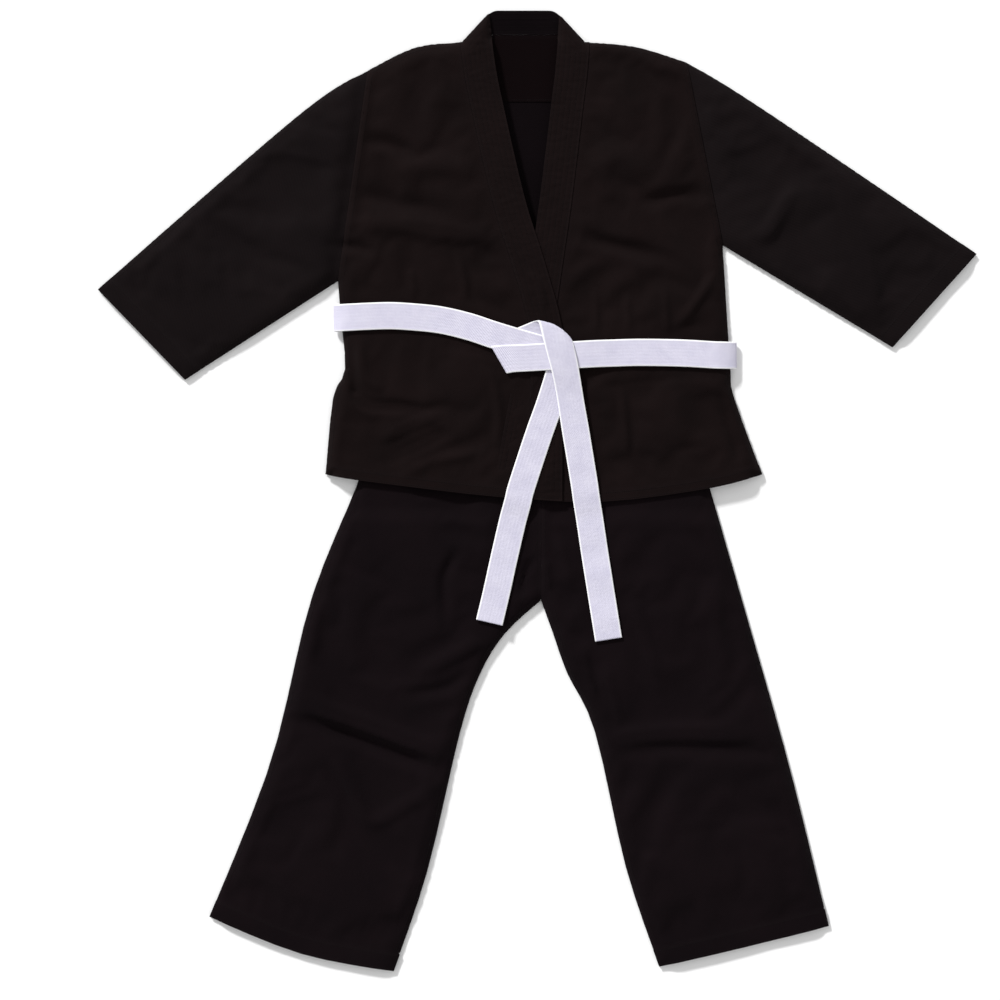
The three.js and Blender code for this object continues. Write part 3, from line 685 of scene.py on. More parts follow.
def thicken(piece, thickness):
    """Gives the sheet its thickness and shades it smooth."""
    modifier = piece.modifiers.new("thickness", "SOLIDIFY")
    modifier.thickness = thickness * MM
    modifier.offset = 0.0
    bpy.context.view_layer.objects.active = piece
    piece.select_set(True)
    bpy.ops.object.modifier_apply(modifier=modifier.name)
    bpy.ops.object.shade_smooth_by_angle(angle=math.radians(50))
    piece.select_set(False)


def mark_edges(piece, tree, reach):
    """Writes how near each vertex is to an edge, for wear and lint."""
    spots = [v.co for v in piece.data.vertices]
    near = [max(0.0, 1 - tree.find((p[0] / MM, p[1] / MM, 0))[2] / reach) for p in spots]
    layer = piece.data.attributes.new("edge", "FLOAT", "POINT")
    layer.data.foreach_set("value", np.array(near, np.float32))


made = {}


def sew_panel(name, loop, group, heights, thickness, nodes, body, slot, grain=0.0,
              step=7.0, growth=0.0, cap=4.0, blend=None, overlap=0.0):
    """One finished piece of cloth: cut, laid, settled, thickened and put on its body, or fixed
    where it lies when blend is given.
    """
    sewn = grown(loop, overlap) if overlap else loop
    points, triangles = net(sewn, step)
    z = heights(points)
    if "front" in name or "lapel" in name:
        low, high = limits(points, group, thickness, "right" in name and group == "jacket",
                           CEILINGS[name.split("_")[0]])
        z = between_limits(z, low, high)
    piece = cloth_mesh(name, points, z, triangles, grain)
    if growth:
        inset = distance(points, tree_of(even(sewn, step / 2)))
        held = 1 - ease((inset - 3) / 14)
        held = np.maximum(held, under_tails(points))
        if group == "jacket":
            held = np.maximum(held, under_belt(points))
        settle_cloth(piece, held, growth, cap)
        for vertex, lowest, highest in zip(piece.data.vertices, low, high):
            vertex.co.z = between_limits(vertex.co.z / MM, lowest, highest) * MM
    thicken(piece, thickness)
    mark_edges(piece, tree_of(even(sewn, 2.0)), 5.0)
    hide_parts(*nodes)
    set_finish(piece, slot)
    made[name] = {"piece": piece, "loop": sewn}
    if blend:
        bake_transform(piece)
    else:
        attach(piece, body)
    return piece


# %% [markdown]
# ## Hinge lines
# A sleeve folds over at the armhole and a trouser leg at the knee. The cloth would bend over a
# short length past the line; that length is worked out here, and rows of stitches are kept off it.

# %% Where the cloth bends
JOINTS = {j["name"]: j for j in frame["joints"]}


CLOTH_BEND, BELT_BEND = 50, 26   # length over which each bends, in mm


def bend_past(joint, outward, length):
    """Start and end of the bend: from the hinge line, square to it, away from the body."""
    j = JOINTS[joint]
    axis = Vector(j["axis"])
    across = Vector((-axis.y, axis.x, 0)).normalized()
    start = Vector(j["pos_m"])
    if across.dot(Vector(outward)) < 0:
        across.negate()
    return (j["parent"], j["child"], tuple(start), tuple(start + across * length * MM))


BENDS = {}
for side, out in zip(SIDES, (-1, 1)):
    BENDS[f"sleeve_{side}"] = bend_past(f"sleeve_{side}_fold", (out, 0, 0), CLOTH_BEND)
    BENDS[f"leg_{side}"] = bend_past(f"leg_{side}_fold", (0, -1, 0), CLOTH_BEND)
    BENDS[f"tail_{side}"] = bend_past(f"belt_tail_{side}_lift", (0, -1, 0), BELT_BEND)
GRAIN = {"sleeve_right": 127.0, "sleeve_left": 57.0}

# %% [markdown]
# ## The back of the jacket
# One wide panel lies on the floor, with the belt passing behind it, so it rides up over the
# belt's thickness. Its hem is turned up twice and stitched. A yoke lines it inside, below the
# neck, and a doubled band stands round the back of the neck.

# %% Jacket back, hem, yoke lining and neck band
PLY, HEM = 0.9, 1.5              # thickness of one ply, and of a hem or cuff that is turned up
PLY_LOW, HEM_LOW = 0.6, 0.85     # middle of a back ply and of a back hem that lie on the floor
HEM_LIFT = 0.2                   # how far a front hem's middle is above its panel's


def belt_behind(x):
    """y of the belt's middle behind the jacket."""
    return np.interp(x, [-280, 273], [254.6, 199.6])


def jacket_back_height(points):
    off = abs(points[:, 1] - belt_behind(points[:, 0])) - 21
    return back_height(points, "jacket", PLY_LOW) + 2.2 * (1 - ease(off / 11))


back_loop = outline("jacket_back")
jacket_back = sew_panel("jacket_back_cloth", back_loop, "jacket", jacket_back_height, PLY,
                        ["jacket_back"], "jacket", "jacket_cotton")
sew_panel("jacket_hem_back_cloth", outline("jacket_hem_back"), "jacket",
          lambda p: back_height(p, "jacket", HEM_LOW), HEM, ["jacket_hem_back"], "jacket",
          "jacket_cotton", step=4.0, overlap=HEM_OVERLAP)
sew_panel("back_yoke_lining_cloth", outline("back_yoke_lining"), "jacket",
          lambda p: 1.75 + 0.35 * ripples(p, 60, 1.2) ** 2, 0.8, ["back_yoke_lining"],
          "jacket", "lining_cotton", step=5.0)
neck_loop = outline("collar_neck_band")
neck_low = neck_loop[:, 1].min()


def neck_height(points):
    rise = ease((points[:, 1] - neck_low) / 34)
    grooves = sum(np.exp(-((points[:, 1] - neck_low - r) / 1.3) ** 2) for r in (4, 12, 20, 28))
    return 1.15 + 2.6 * rise - 0.3 * grooves


sew_panel("collar_neck_band_cloth", neck_loop, "jacket", neck_height, 1.6,
          ["collar_neck_band"], "jacket", "jacket_cotton", step=2.6)

# %% [markdown]
# ## The jacket's fronts
# The wearer's left front is laid first and the right front over it. Both are settled by the
# cloth simulation with their seams and the line under the belt held. Each hem is a doubled
# strip along the bottom edge, so it stands a little proud of the panel above it.

# %% Fronts and their hems
for side in ("left", "right"):
    node, hem = f"front_{side}", f"jacket_hem_front_{side}"
    sew_panel(f"{node}_cloth", cut[node], "jacket",
              lambda p, n=node: front_height(p, "jacket", n), PLY, [node], "jacket",
              "jacket_cotton", growth=0.024, cap=4.2, step=5.2)
    sew_panel(f"{hem}_cloth", cut[hem], "jacket",
              lambda p, n=hem: front_height(p, "jacket", n) + HEM_LIFT, 1.4, [hem], "jacket",
              "jacket_cotton", step=3.5, overlap=HEM_OVERLAP)

# %% [markdown]
# ## Lapels
# A lapel is a long doubled strip, quilted by rows of stitching that run along it. The thread
# pulls the cloth in, so each row is a shallow groove with small puckers across it. The net is
# finer here, so that the grooves are real shape.

# %% Lapels
ROWS = (4.0, 11.8, 19.6)         # distance of the stitched rows from the lapel's edges, in mm


def quilted(points, loop):
    inset = distance(points, tree_of(even(loop, 0.7)))
    rows = sum(np.exp(-((inset - r) / 1.5) ** 2) for r in ROWS)
    pucker = np.array([noise.noise((p[0] / 16, p[1] / 5.5, 2.0)) for p in points])
    return -0.45 * rows + 0.6 * pucker


for side, lift in (("left", 0.7), ("right", 1.0)):
    node = f"lapel_{side}"
    sew_panel(f"{node}_cloth", cut[node], "jacket",
              lambda p, n=node, up=lift: front_height(p, "jacket", n) + up + quilted(p, cut[n]),
              1.9, [node], "jacket", "jacket_cotton", step=2.5)

# %% [markdown]
# ## Sleeves
# Each sleeve is a flat tube of one piece of cloth: a back ply, a front ply and a doubled cuff at
# the end of each. The cuffs go with the sleeve; the plies are fixed where they lie.

# %% Sleeves and cuffs
for arm in both("sleeve_{}"):
    for face in ("back", "front"):
        node, cuff = f"{arm}_{face}", f"{arm}_cuff_{face}"
        if face == "back":
            shape = lambda p: back_height(p, "jacket", PLY_LOW)
            cuff_shape = lambda p: back_height(p, "jacket", HEM_LOW)
            growth = 0.0
        else:
            shape = lambda p, n=node: front_height(p, "jacket", n)
            cuff_shape = lambda p, n=node: front_height(p, "jacket", n) + HEM_LIFT
            growth = 0.022
        sew_panel(f"{node}_cloth", outline(node), "jacket", shape, PLY, [node], arm,
                  "sleeve_cotton", GRAIN[arm], growth=growth, cap=3.8, step=5.2,
                  blend=BENDS[arm])
        sew_panel(f"{cuff}_cloth", outline(cuff), "jacket", cuff_shape, HEM, [cuff], arm,
                  "sleeve_cotton", GRAIN[arm], step=4.0,
                  overlap=HEM_OVERLAP)

# %% [markdown]
# ## Trousers
# Each half has a front and a back panel that run from the waist to the hem in one piece of cloth.
# The CAD cuts them at the knee, where the leg folds, so the outlines are joined again here. The
# hems go with the leg; the panels are fixed where they lie.

# %% Trouser panels and hems
CENTRE_SEAM = 5.65               # x of the centre seam


def trouser_back_height(points):
    on_jacket = ease((points[:, 1] + 46) / 20)
    return back_height(points, "trousers", PLY_LOW) + 1.9 * on_jacket


def trouser_front_height(points, panel):
    dip = np.exp(-((points[:, 0] - CENTRE_SEAM) / 3.0) ** 2) * ease((points[:, 1] + 165) / 10)
    return front_height(points, "trousers", panel) - 0.9 * dip


for side in SIDES:
    leg = f"leg_{side}"
    for face in ("back", "front"):
        node, hem = f"trouser_{face}_{side}", f"{leg}_hem_{face}"
        if face == "back":
            shape, hem_shape, growth = trouser_back_height, trouser_back_height, 0.0
        else:
            shape = lambda p, n=leg: trouser_front_height(p, n)
            hem_shape = lambda p, n=leg: trouser_front_height(p, n) + HEM_LIFT
            growth = 0.022
        sew_panel(f"{node}_cloth", joined(outline(node), outline(f"{leg}_{face}")), "trousers",
                  shape, PLY, [node, f"{leg}_{face}"], leg, "trouser_cotton",
                  growth=growth, step=5.6, blend=BENDS[leg])
        sew_panel(f"{hem}_cloth", outline(hem), "trousers", hem_shape, HEM, [hem], leg,
                  "trouser_cotton", step=4.0, overlap=HEM_OVERLAP)

# %% [markdown]
# ## Straps
# The belt, the waistband and its elastic are straps: two edges that run side by side. A strap
# is lofted between a left and a right edge given by a few rows, and gets a section with rounded
# edges and a groove for each row of stitching. The thread dips in and out, so the groove is
# dimpled too.

# %% Making a strap
def smooth_rows(rows, step):
    """Rows of left edge, right edge and bow, made into even steps along the middle."""
    fine = np.column_stack([line_of(rows[:, k:k + 3], 16) for k in range(0, rows.shape[1], 3)])
    middle = (fine[:, :3] + fine[:, 3:6]) / 2
    run = np.concatenate([[0], np.cumsum(np.linalg.norm(np.diff(middle, axis=0), axis=1))])
    at = np.linspace(0, run[-1], max(2, int(run[-1] / step) + 1))
    return np.column_stack([np.interp(at, run, k) for k in fine.T]), at


def turned_rows(centres, width):
    """Rows from middles (x, y, z, slope in degrees); the strap's left is its +90 degree side."""
    rows = []
    for x, y, z, slope in centres:
        a = math.radians(slope)
        side = np.array([-math.sin(a), math.cos(a), 0]) * width / 2
        rows.append([*(np.array([x, y, z]) + side), *(np.array([x, y, z]) - side)])
    return np.array(rows)


STRAP_ROUND = 1.2                # radius of a strap's edges
STRAP_PITCH = 3.6                # length from one dimple of a stitched row to the next
NEVER = -500.0                   # a length that no strap has, for one that isn't creased


def strap(name, rows, thickness, width, stitch_rows, step=1.8, groove=0.19, wave=0.0,
          creased=NEVER):
    """A closed strap along its rows. It is most wrinkled at the length called creased."""
    rows, run = smooth_rows(rows, step)
    left, right = rows[:, :3], rows[:, 3:6]
    bow = rows[:, 6:] if rows.shape[1] > 6 else np.zeros_like(left)
    normal = np.cross(left - right, np.gradient((left + right) / 2, axis=0))
    normal /= np.linalg.norm(normal, axis=1)[:, None]
    spots = np.linspace(-width / 2, width / 2, int(width / 1.25) + 1)
    past = np.maximum(0, abs(spots) - width / 2 + STRAP_ROUND) / STRAP_ROUND
    edge_round = np.sqrt(np.maximum(0.2, 1 - past ** 2))
    dips = sum(np.exp(-((spots - r) / 0.75) ** 2) for r in stitch_rows)
    beat = 1 - 0.5 * (0.5 + 0.5 * np.cos(run * 2 * math.pi / STRAP_PITCH))
    uneven = np.array([[noise.noise((s / 7, r / 3.4, 5.0)) for s in spots] for r in run])
    uneven *= 0.13 + 0.3 * np.exp(-((run - creased) / 34) ** 2)[:, None]
    half = thickness / 2 * edge_round[None, :] - groove * dips[None, :] * beat[:, None]
    half = half + uneven * (edge_round[None, :] > 0.95)
    lift = wave * np.array([noise.noise((r / 34, 2.0, 1.0)) for r in run])[:, None]
    share = spots / width + 0.5
    base = right[:, None, :] + (left - right)[:, None, :] * share[None, :, None]
    base = base + bow[:, None, :] * (4 * share * (1 - share))[None, :, None]
    top = base + normal[:, None, :] * (half + lift)[:, :, None]
    bottom = base - normal[:, None, :] * (half - lift)[:, :, None]
    ring = np.concatenate([top, bottom[:, ::-1]], axis=1)
    n, m = ring.shape[:2]
    faces = []
    for i in range(n - 1):
        for k in range(m):
            l = (k + 1) % m
            faces.append((i * m + k, i * m + l, (i + 1) * m + l, (i + 1) * m + k))
    for i, flip in ((0, False), (n - 1, True)):
        for k in range(m // 2 - 1):
            quad = (i * m + k, i * m + m - 1 - k, i * m + m - 2 - k, i * m + k + 1)
            faces.append(quad[::-1] if flip else quad)
    mesh = bpy.data.meshes.new(name)
    mesh.from_pydata([tuple(p) for p in ring.reshape(-1, 3) * MM], [], faces)
    around = np.concatenate([spots, spots[::-1]])
    layer = mesh.uv_layers.new(name="flat_cloth")
    for loop in mesh.loops:
        i, k = divmod(loop.vertex_index, m)
        layer.data[loop.index].uv = (around[k] * MM, run[i] * MM)
    # 1 on the strap's rounded edges: on the belt this carries a painted white highlight, on the
    # other straps a little wear
    rim = np.clip((abs(around) - width / 2 + 2.6) / 1.6, 0, 1)
    attribute = mesh.attributes.new("edge", "FLOAT", "POINT")
    attribute.data.foreach_set("value", np.tile(rim, n).astype(np.float32))
    face_outwards(mesh, lambda shape: shape.calc_volume(signed=True) < 0)
    for face in mesh.polygons:
        face.use_smooth = True
    print(f"{name}: {run[-1]:.0f} mm long, {len(mesh.polygons)} faces")
    return place_object(name, mesh), run[-1]


# %% [markdown]
# ## Waistband and elastic
# The waistband is a casing that goes all round, gathered by the elastic inside it. It lies
# hidden under the jacket, and shows when the trousers are pulled out. The elastic is a closed
# loop a little narrower than its casing.

# %% Waistband and elastic
def loop_rows(x0, x1, y0, y1, low, high, turn):
    """Rows of a strap that goes round a flattened tube."""
    middle, radius = (low + high) / 2, (high - low) / 2
    line = [(x, low) for x in np.linspace(x0 + turn, x1 - turn, 24)]
    line += [(x1 - turn + turn * math.sin(a), middle - radius * math.cos(a))
             for a in np.linspace(0.3, math.pi - 0.3, 7)]
    line += [(x, high) for x in np.linspace(x1 - turn, x0 + turn, 24)]
    line += [(x0 + turn - turn * math.sin(a), middle + radius * math.cos(a))
             for a in np.linspace(0.3, math.pi - 0.3, 7)]
    line.append(line[0])
    return np.array([[x, y1, z, x, y0, z] for x, z in line])


band_low, band_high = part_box("waistband_front")


def waist_loop(name, nodes, slot, inset, heights, turn, thickness, stitch_rows, held, rests_on,
               **look):
    """A strap round the waist, as wide as its CAD node and inset from the casing's ends."""
    low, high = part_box(nodes[0])
    width = (high.y - low.y) / MM
    rows = loop_rows(band_low.x / MM + inset, band_high.x / MM - inset, low.y / MM,
                     high.y / MM, *heights, turn)
    piece, length = strap(name, rows, thickness, width, stitch_rows, **look)
    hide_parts(*nodes)
    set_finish(piece, slot)
    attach(piece, "trousers")
    return piece


waistband = waist_loop("waistband_casing", ("waistband_front", "waistband_back"),
                       "trouser_cotton", 0, (3.2, 9.4), 12, 2.2, (-14, -5, 5, 14), "gathered",
                       [jacket_back], step=2.4, groove=0.35, wave=0.3)
waist_loop("waist_elastic_webbing", ("waist_elastic",), "waist_elastic", 1.2, (3.4, 9.2), 11,
           0.8, (-12, -8, -4, 0, 4, 8, 12), "stretched", [waistband], step=3.0, groove=0.12)

# %% [markdown]
# ## The belt
# The belt is one long quilted strap with seven rows of stitching. The end from the wearer's
# right goes under the other, and comes out below the knot as the lower tail. The strap from the
# left crosses over it, turns back on a slant behind both, comes up over the top of the knot and
# down its front as the upper tail. Each row gives the strap's two edges there.

# %% Belt round the body
STITCH_ROWS = (-15, -10, -5, 0, 5, 10, 15)
X, Y = LAY


def laid(centres):
    """Rows of the belt from middles given from the garment's own centre lines."""
    return turned_rows([(x + X, y + Y, z, slope) for x, y, z, slope in centres], BELT)


def laid_edges(rows):
    """Rows of the belt from its two edges, given from the garment's own centre lines."""
    return np.array(rows, float) + [X, Y, 0, X, Y, 0]


span_right = [(22, 204, 21.0, -16), (-15, 214, 21.0, -17), (-65, 229, 20.8, -15),
              (-104, 242, 19.3, -12), (-147, 252, 18.7, -7), (-190, 256.5, 18.6, -3),
              (-221, 258, 18.7, 0), (-255, 257, 18.8, 1)]
turn_right = [(-268.7, 256.3, 18.6, 1), (-280.7, 255.8, 17.6, 1), (-290.7, 255.4, 15.2, 1),
              (-298, 255.3, 11.6, 1), (-302.4, 255.2, 7.6, 1), (-300.6, 255.1, 3.2, 0),
              (-293.7, 255, 1.3, -1), (-282.7, 255, 0.95, -3)]
behind = [(-240, 251, 0.95, -5.7), (-120, 239, 0.95, -5.7), (0, 227, 0.95, -5.7),
          (120, 215, 0.95, -5.7), (230, 204, 0.95, -5.0)]
turn_left = [(270.3, 200.3, 0.95, -2), (281.8, 200, 1.3, -1), (288.8, 200, 3.2, 0),
             (290.8, 200, 7.6, 0), (285.8, 200, 11.8, 0), (278.3, 200, 15.4, 0),
             (268.3, 200.1, 17.7, 0), (257.3, 200.3, 18.7, 0)]
span_left = [(210, 203, 18.8, -1), (149, 204, 18.6, 0), (110, 203, 19.0, 1),
             (84, 202, 21.0, 2), (58, 200.5, 23.1, 2), (20, 198, 23.2, 3), (-20, 195.7, 23.2, 4)]
slant = laid_edges([[-55, 214.5, 23.1, -36, 174.8, 23.1],
                    [-67.5, 213.2, 22.9, -44.6, 173.4, 22.9],
                    [-70.3, 212.8, 21.6, -47.4, 173.0, 21.6],
                    [-69.6, 212.6, 19.6, -46.6, 173.0, 19.6],
                    [-66, 215, 18.8, -42, 175, 18.8]])
body_rows = np.vstack([laid(span_right + turn_right + behind + turn_left + span_left), slant])
belt_body, body_length = strap("belt_round_body", body_rows, BELT_THICK, BELT, STITCH_ROWS,
                               wave=0.5)
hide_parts("belt_span_right", "belt_side_turn_right", "belt_back_span",
            "belt_side_turn_left", "belt_span_left")
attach(belt_body, "jacket")

# %% [markdown]
# ## Knot and tails
# The upper tail's strap starts behind the slanted fold, so it is modelled from there. Past the
# hinge line below the knot the tails are free.

# %% Knot and tails
knot = laid_edges([
    # left edge, right edge
    [-69, 212.5, 18.7, -46, 173.0, 18.7],
    [-52, 228, 18.9, -20, 190, 18.9],
    [-35, 238.5, 19.4, 6, 206, 19.1],
    [-19, 245.5, 20.9, 27, 217, 20.0],
    [-8, 249.5, 23.3, 42, 224, 21.8],
    [-1.5, 248.5, 25.6, 48.5, 221, 24.2],
    [2.5, 236, 26.6, 52.5, 207, 25.9],
    [6, 221, 26.9, 55.5, 194, 26.4],
    [11, 202, 26.8, 57.5, 184, 26.3],
    [16.5, 182, 26.2, 59.5, 172, 25.6],
    [22, 158, 24.0, 63, 151, 23.6],
    [27, 130, 22.0, 67.5, 124, 21.9]])
# over the top of the knot the cloth bows out, so its turned edge is round
KNOT_BOW = [(0, 0, 0), (0, 0, 0), (0.5, 1, 0), (1.5, 2.5, 0), (2.8, 5, 0), (3.2, 5.6, 0.2),
            (2.4, 4, 0.3), (1.2, 1.8, 0.2), (0.3, 0.5, 0.1), (0, 0, 0), (0, 0, 0), (0, 0, 0)]
# a tail's left edge is the one at smaller x, so its turned rows change sides
CHANGED_SIDES = [3, 4, 5, 0, 1, 2]
tail_upper = laid([
    (53, 92, 21.2, -80), (60, 50, 20.2, -81), (66.5, 10, 19.2, -81.2), (69, -8, 18.9, -81),
    (71.5, -24, 17.6, -81), (74.5, -42, 15.9, -81), (82, -92, 15.3, -81),
    (92, -155, 15.3, -81), (102.3, -219, 15.3, -81)])[:, CHANGED_SIDES]
upper_rows = np.vstack([knot, tail_upper])
bows = np.vstack([KNOT_BOW, np.zeros((len(tail_upper), 3))])
upper, upper_length = strap("belt_knot_and_upper_tail", np.column_stack([upper_rows, bows]),
                            BELT_THICK, BELT, STITCH_ROWS, wave=0.7, creased=85.0)
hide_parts("belt_knot_underfold", "belt_knot_wrap", "belt_tail_left")
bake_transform(upper)

lower_rows = laid([
    (33, 186, 20.8, -101), (28, 168, 20.4, -106), (22.5, 150, 19.6, -108),
    (13, 121, 18.9, -109), (1, 88, 18.9, -108.5), (-15, 40, 18.9, -107),
    (-27.5, 1, 18.9, -105.5), (-31, -14, 18.5, -105), (-35, -29, 17.0, -105),
    (-39.5, -46, 15.7, -104.5), (-52, -100, 15.3, -103.5), (-63, -150, 15.3, -103),
    (-73.5, -194, 15.3, -103)])[:, CHANGED_SIDES]
lower, lower_length = strap("belt_lower_tail", lower_rows, BELT_THICK, BELT, STITCH_ROWS,
                            wave=0.7)
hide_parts("belt_tail_root", "belt_tail_right")
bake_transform(lower)
for piece, length, rests in ((belt_body, body_length, "front_right_cloth"),
                             (upper, upper_length, "belt_round_body"),
                             (lower, lower_length, "front_left_cloth")):
    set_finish(piece, "belt_cotton")
print("whole belt:", round(body_length + upper_length + lower_length), "mm")

# %% [markdown]
# ## Topstitching
# Every seam and hem of the uniform is stitched down, and those rows are what draws its lines.
# A row follows a panel's outline at a fixed distance. Each stitch is one small closed lozenge of
# thread, set on the cloth where a ray from above meets it. The rows stand for the CAD's seams.

# %% Making rows of stitches
def rows_inside(loop, inset, near=None, reach=None):
    """Runs of points at a distance inside an outline; near keeps what is close to some edge."""
    rim = even(loop, 1.6)
    along = np.roll(rim, -1, axis=0) - np.roll(rim, 1, axis=0)
    along /= np.linalg.norm(along, axis=1)[:, None] + 1e-9
    side = np.column_stack([-along[:, 1], along[:, 0]])
    moved = rim + side * inset
    if inside(moved, rim).mean() < 0.5:
        moved = rim - side * inset
    good = (distance(moved, tree_of(even(loop, 0.8))) > inset - 0.25) & inside(moved, rim)
    if near is not None:
        good &= distance(moved, near) < reach
    runs, run = [], []
    for point, ok in zip(moved, good):
        if ok:
            run.append(point)
        elif run:
            runs.append(run)
            run = []
    if run:
        runs.append(run)
    if len(runs) > 1 and good[0] and good[-1]:
        runs[0] = runs.pop() + runs[0]
    return [np.array(r) for r in runs if len(r) > 4]


STITCH_PITCH, STITCH_LENGTH, STITCH_WIDTH, STITCH_HEIGHT = 3.3, 2.4, 0.75, 0.38
LONGEST_GAP = 30                 # a run with a wider gap than this is not one row
STITCH_FACES = [(0, 1, 5, 4), (1, 2, 6, 5), (2, 3, 7, 6), (3, 0, 4, 7), (8, 1, 0), (8, 2, 1),
                (8, 3, 2), (8, 0, 3), (9, 4, 5), (9, 5, 6), (9, 6, 7), (9, 7, 4)]


def surface_of(cloth):
    return BVHTree.FromPolygons([v.co.copy() for v in cloth.data.vertices],
                                [tuple(p.vertices) for p in cloth.data.polygons])


def stitch_points(a, b):
    """Corners of one stitch from a to b: a low lozenge, sunk by half its height."""
    along = b - a
    side = Vector((-along.y, along.x, 0)).normalized() * STITCH_WIDTH / 2 * MM
    up = Vector((0, 0, STITCH_HEIGHT * MM))
    sunk = up * 0.5
    corners = []
    for p in (a + along * 0.12, a + along * 0.88):
        corners += [p - side - sunk, p + side - sunk, p + side * 0.4 + up, p - side * 0.4 + up]
    return corners + [a - sunk, b - sunk]


def stitching(name, rows, body, slot, nodes):
    """One piece of thread for all the rows of a body. rows is a list of (run, cloth piece)."""
    points, faces, surfaces = [], [], {}
    for run, cloth in rows:
        if cloth.name not in surfaces:
            surfaces[cloth.name] = surface_of(cloth)
        gaps = np.linalg.norm(np.diff(run, axis=0), axis=1)
        if gaps.max() > LONGEST_GAP:
            continue
        length = np.concatenate([[0], np.cumsum(gaps)])
        for at in np.arange(1.0, length[-1] - STITCH_LENGTH, STITCH_PITCH):
            ends = []
            for s in (at, at + STITCH_LENGTH):
                x, y = (np.interp(s, length, run[:, k]) for k in (0, 1))
                start = Vector((x * MM, y * MM, 0.08))
                ends.append(surfaces[cloth.name].ray_cast(start, Vector((0, 0, -1)))[0])
            if None not in ends:
                faces += [tuple(len(points) + i for i in f) for f in STITCH_FACES]
                points += stitch_points(*ends)
    mesh = bpy.data.meshes.new(name)
    mesh.from_pydata([tuple(p) for p in points], [], faces)
    face_outwards(mesh, lambda shape: False)
    mesh.uv_layers.new(name="flat_cloth")
    piece = place_object(name, mesh)
    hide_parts(*nodes)
    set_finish(piece, slot)
    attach(piece, body)
    print(f"{name}: {len(faces)} faces")


def rows_of(name, insets, near=None, reach=None, keep=None):
    """Rows at several distances inside a finished panel's outline."""
    found = []
    for inset in insets:
        for run in rows_inside(made[name]["loop"], inset, near, reach):
            if keep is not None:
                run = run[[bool(keep(p)) for p in run]]
            if len(run) > 4:
                found.append((run, made[name]["piece"]))
    return found


# %% [markdown]
# ## Where the rows run
# Lapels have their quilting rows, hems and cuffs a row near each edge, and the side, shoulder
# and leg seams a row a few millimetres in. Rows on a sleeve or leg start past the bend.

# %% Rows on each body
def bend_of(key):
    """A bend's start and the way from there to its end, in mm."""
    start, end = (np.array(p[:2]) / MM for p in BENDS[key][2:])
    return start, end - start


def past_bend(key):
    """True for a point of the moving part that is beyond the length that bends."""
    start, way = bend_of(key)
    return lambda p: (p - start) @ (way / np.linalg.norm(way)) > np.linalg.norm(way)


def before_bend(key):
    start, way = bend_of(key)
    return lambda p: (p - start) @ way < 0


EDGE_ROW, EDGE_REACH = (6.5,), 7.4       # the row beside a sewn edge, and what counts as beside
HEM_ROW = (2.4,)
jacket_edges = edge_tree["jacket"]
rows = []
for side in SIDES:
    rows += rows_of(f"lapel_{side}_cloth", ROWS)
    rows += rows_of(f"front_{side}_cloth", EDGE_ROW, jacket_edges, EDGE_REACH)
    rows += rows_of(f"front_{side}_cloth", (2.6, 8.0), armhole[side], 9.2)
    rows += rows_of(f"jacket_hem_front_{side}_cloth", HEM_ROW)
rows += rows_of("jacket_hem_back_cloth", HEM_ROW, keep=lambda p: p[1] < -14 or abs(p[0]) > 318)
rows += rows_of("collar_neck_band_cloth", (4.0, 12.0))
rows += rows_of("back_yoke_lining_cloth", (2.8,), keep=lambda p: p[1] < 590)
stitching("jacket_topstitching", rows, "jacket", "jacket_cotton",
          both("shoulder_seam_{}", "side_seam_{}"))
for arm in both("sleeve_{}"):
    rows = rows_of(f"{arm}_front_cloth", EDGE_ROW, jacket_edges, EDGE_REACH, past_bend(arm))
    rows += rows_of(f"{arm}_cuff_front_cloth", HEM_ROW)
    stitching(f"{arm}_topstitching", rows, arm, "sleeve_cotton",
              [f"{arm}_top_fold", f"{arm}_underarm_seam"])
trouser_edges = edge_tree["trousers"]
centre_line = tree_of(np.array([[CENTRE_SEAM, y] for y in np.arange(-150, 105, 2.0)]))
gusset_right = line_of(np.array([(-3, -73), (-14, -120), (-27, -172), (-38, -222)]) + LAY, 30)
gusset_left = line_of(np.array([(12, -118), (18, -150), (26, -188), (36, -222), (44, -258),
                                (56, -297)]) + LAY, 30)
rows = []
for side in SIDES:
    name = f"trouser_front_{side}_cloth"
    rows += rows_of(name, EDGE_ROW, trouser_edges, EDGE_REACH, before_bend(f"leg_{side}"))
    rows += rows_of(name, (5.5,), centre_line, 6.6)
rows.append((gusset_right, made["trouser_front_right_cloth"]["piece"]))
rows.append((gusset_left, made["trouser_front_left_cloth"]["piece"]))
stitching("trousers_topstitching", rows, "trousers", "trouser_cotton",
          both("trouser_outer_seam_{}") + ["crotch_gusset"])
for side in SIDES:
    leg = f"leg_{side}"
    rows = rows_of(f"trouser_front_{side}_cloth", EDGE_ROW, trouser_edges, EDGE_REACH,
                   past_bend(leg))
    rows += rows_of(f"{leg}_hem_front_cloth", HEM_ROW)
    stitching(f"{leg}_topstitching", rows, leg, "trouser_cotton",
              [f"{leg}_outer_seam", f"{leg}_inner_seam"])

# %% [markdown]
# ## Finishes
# The uniform is cotton drill, a light twill dyed black in the piece: matt, with a faint sheen from
# its short fibres, a slow unevenness of the dye, and edges rubbed a little paler. The belt is a
# white cotton strap whose edges are painted pure white, a painted highlight that keeps them
# brighter than its quilted middle on every side. Threads are half a millimetre apart, which is
# finer than the view shows, so the twill is drawn coarser.

# %% Colour and node helpers
def linear(code):
    """An sRGB hex colour as the linear numbers that a shader takes."""
    parts = [int(code[i:i + 2], 16) / 255 for i in (0, 2, 4)]
    return (*[c / 12.92 if c <= 0.04045 else ((c + 0.055) / 1.055) ** 2.4 for c in parts], 1.0)


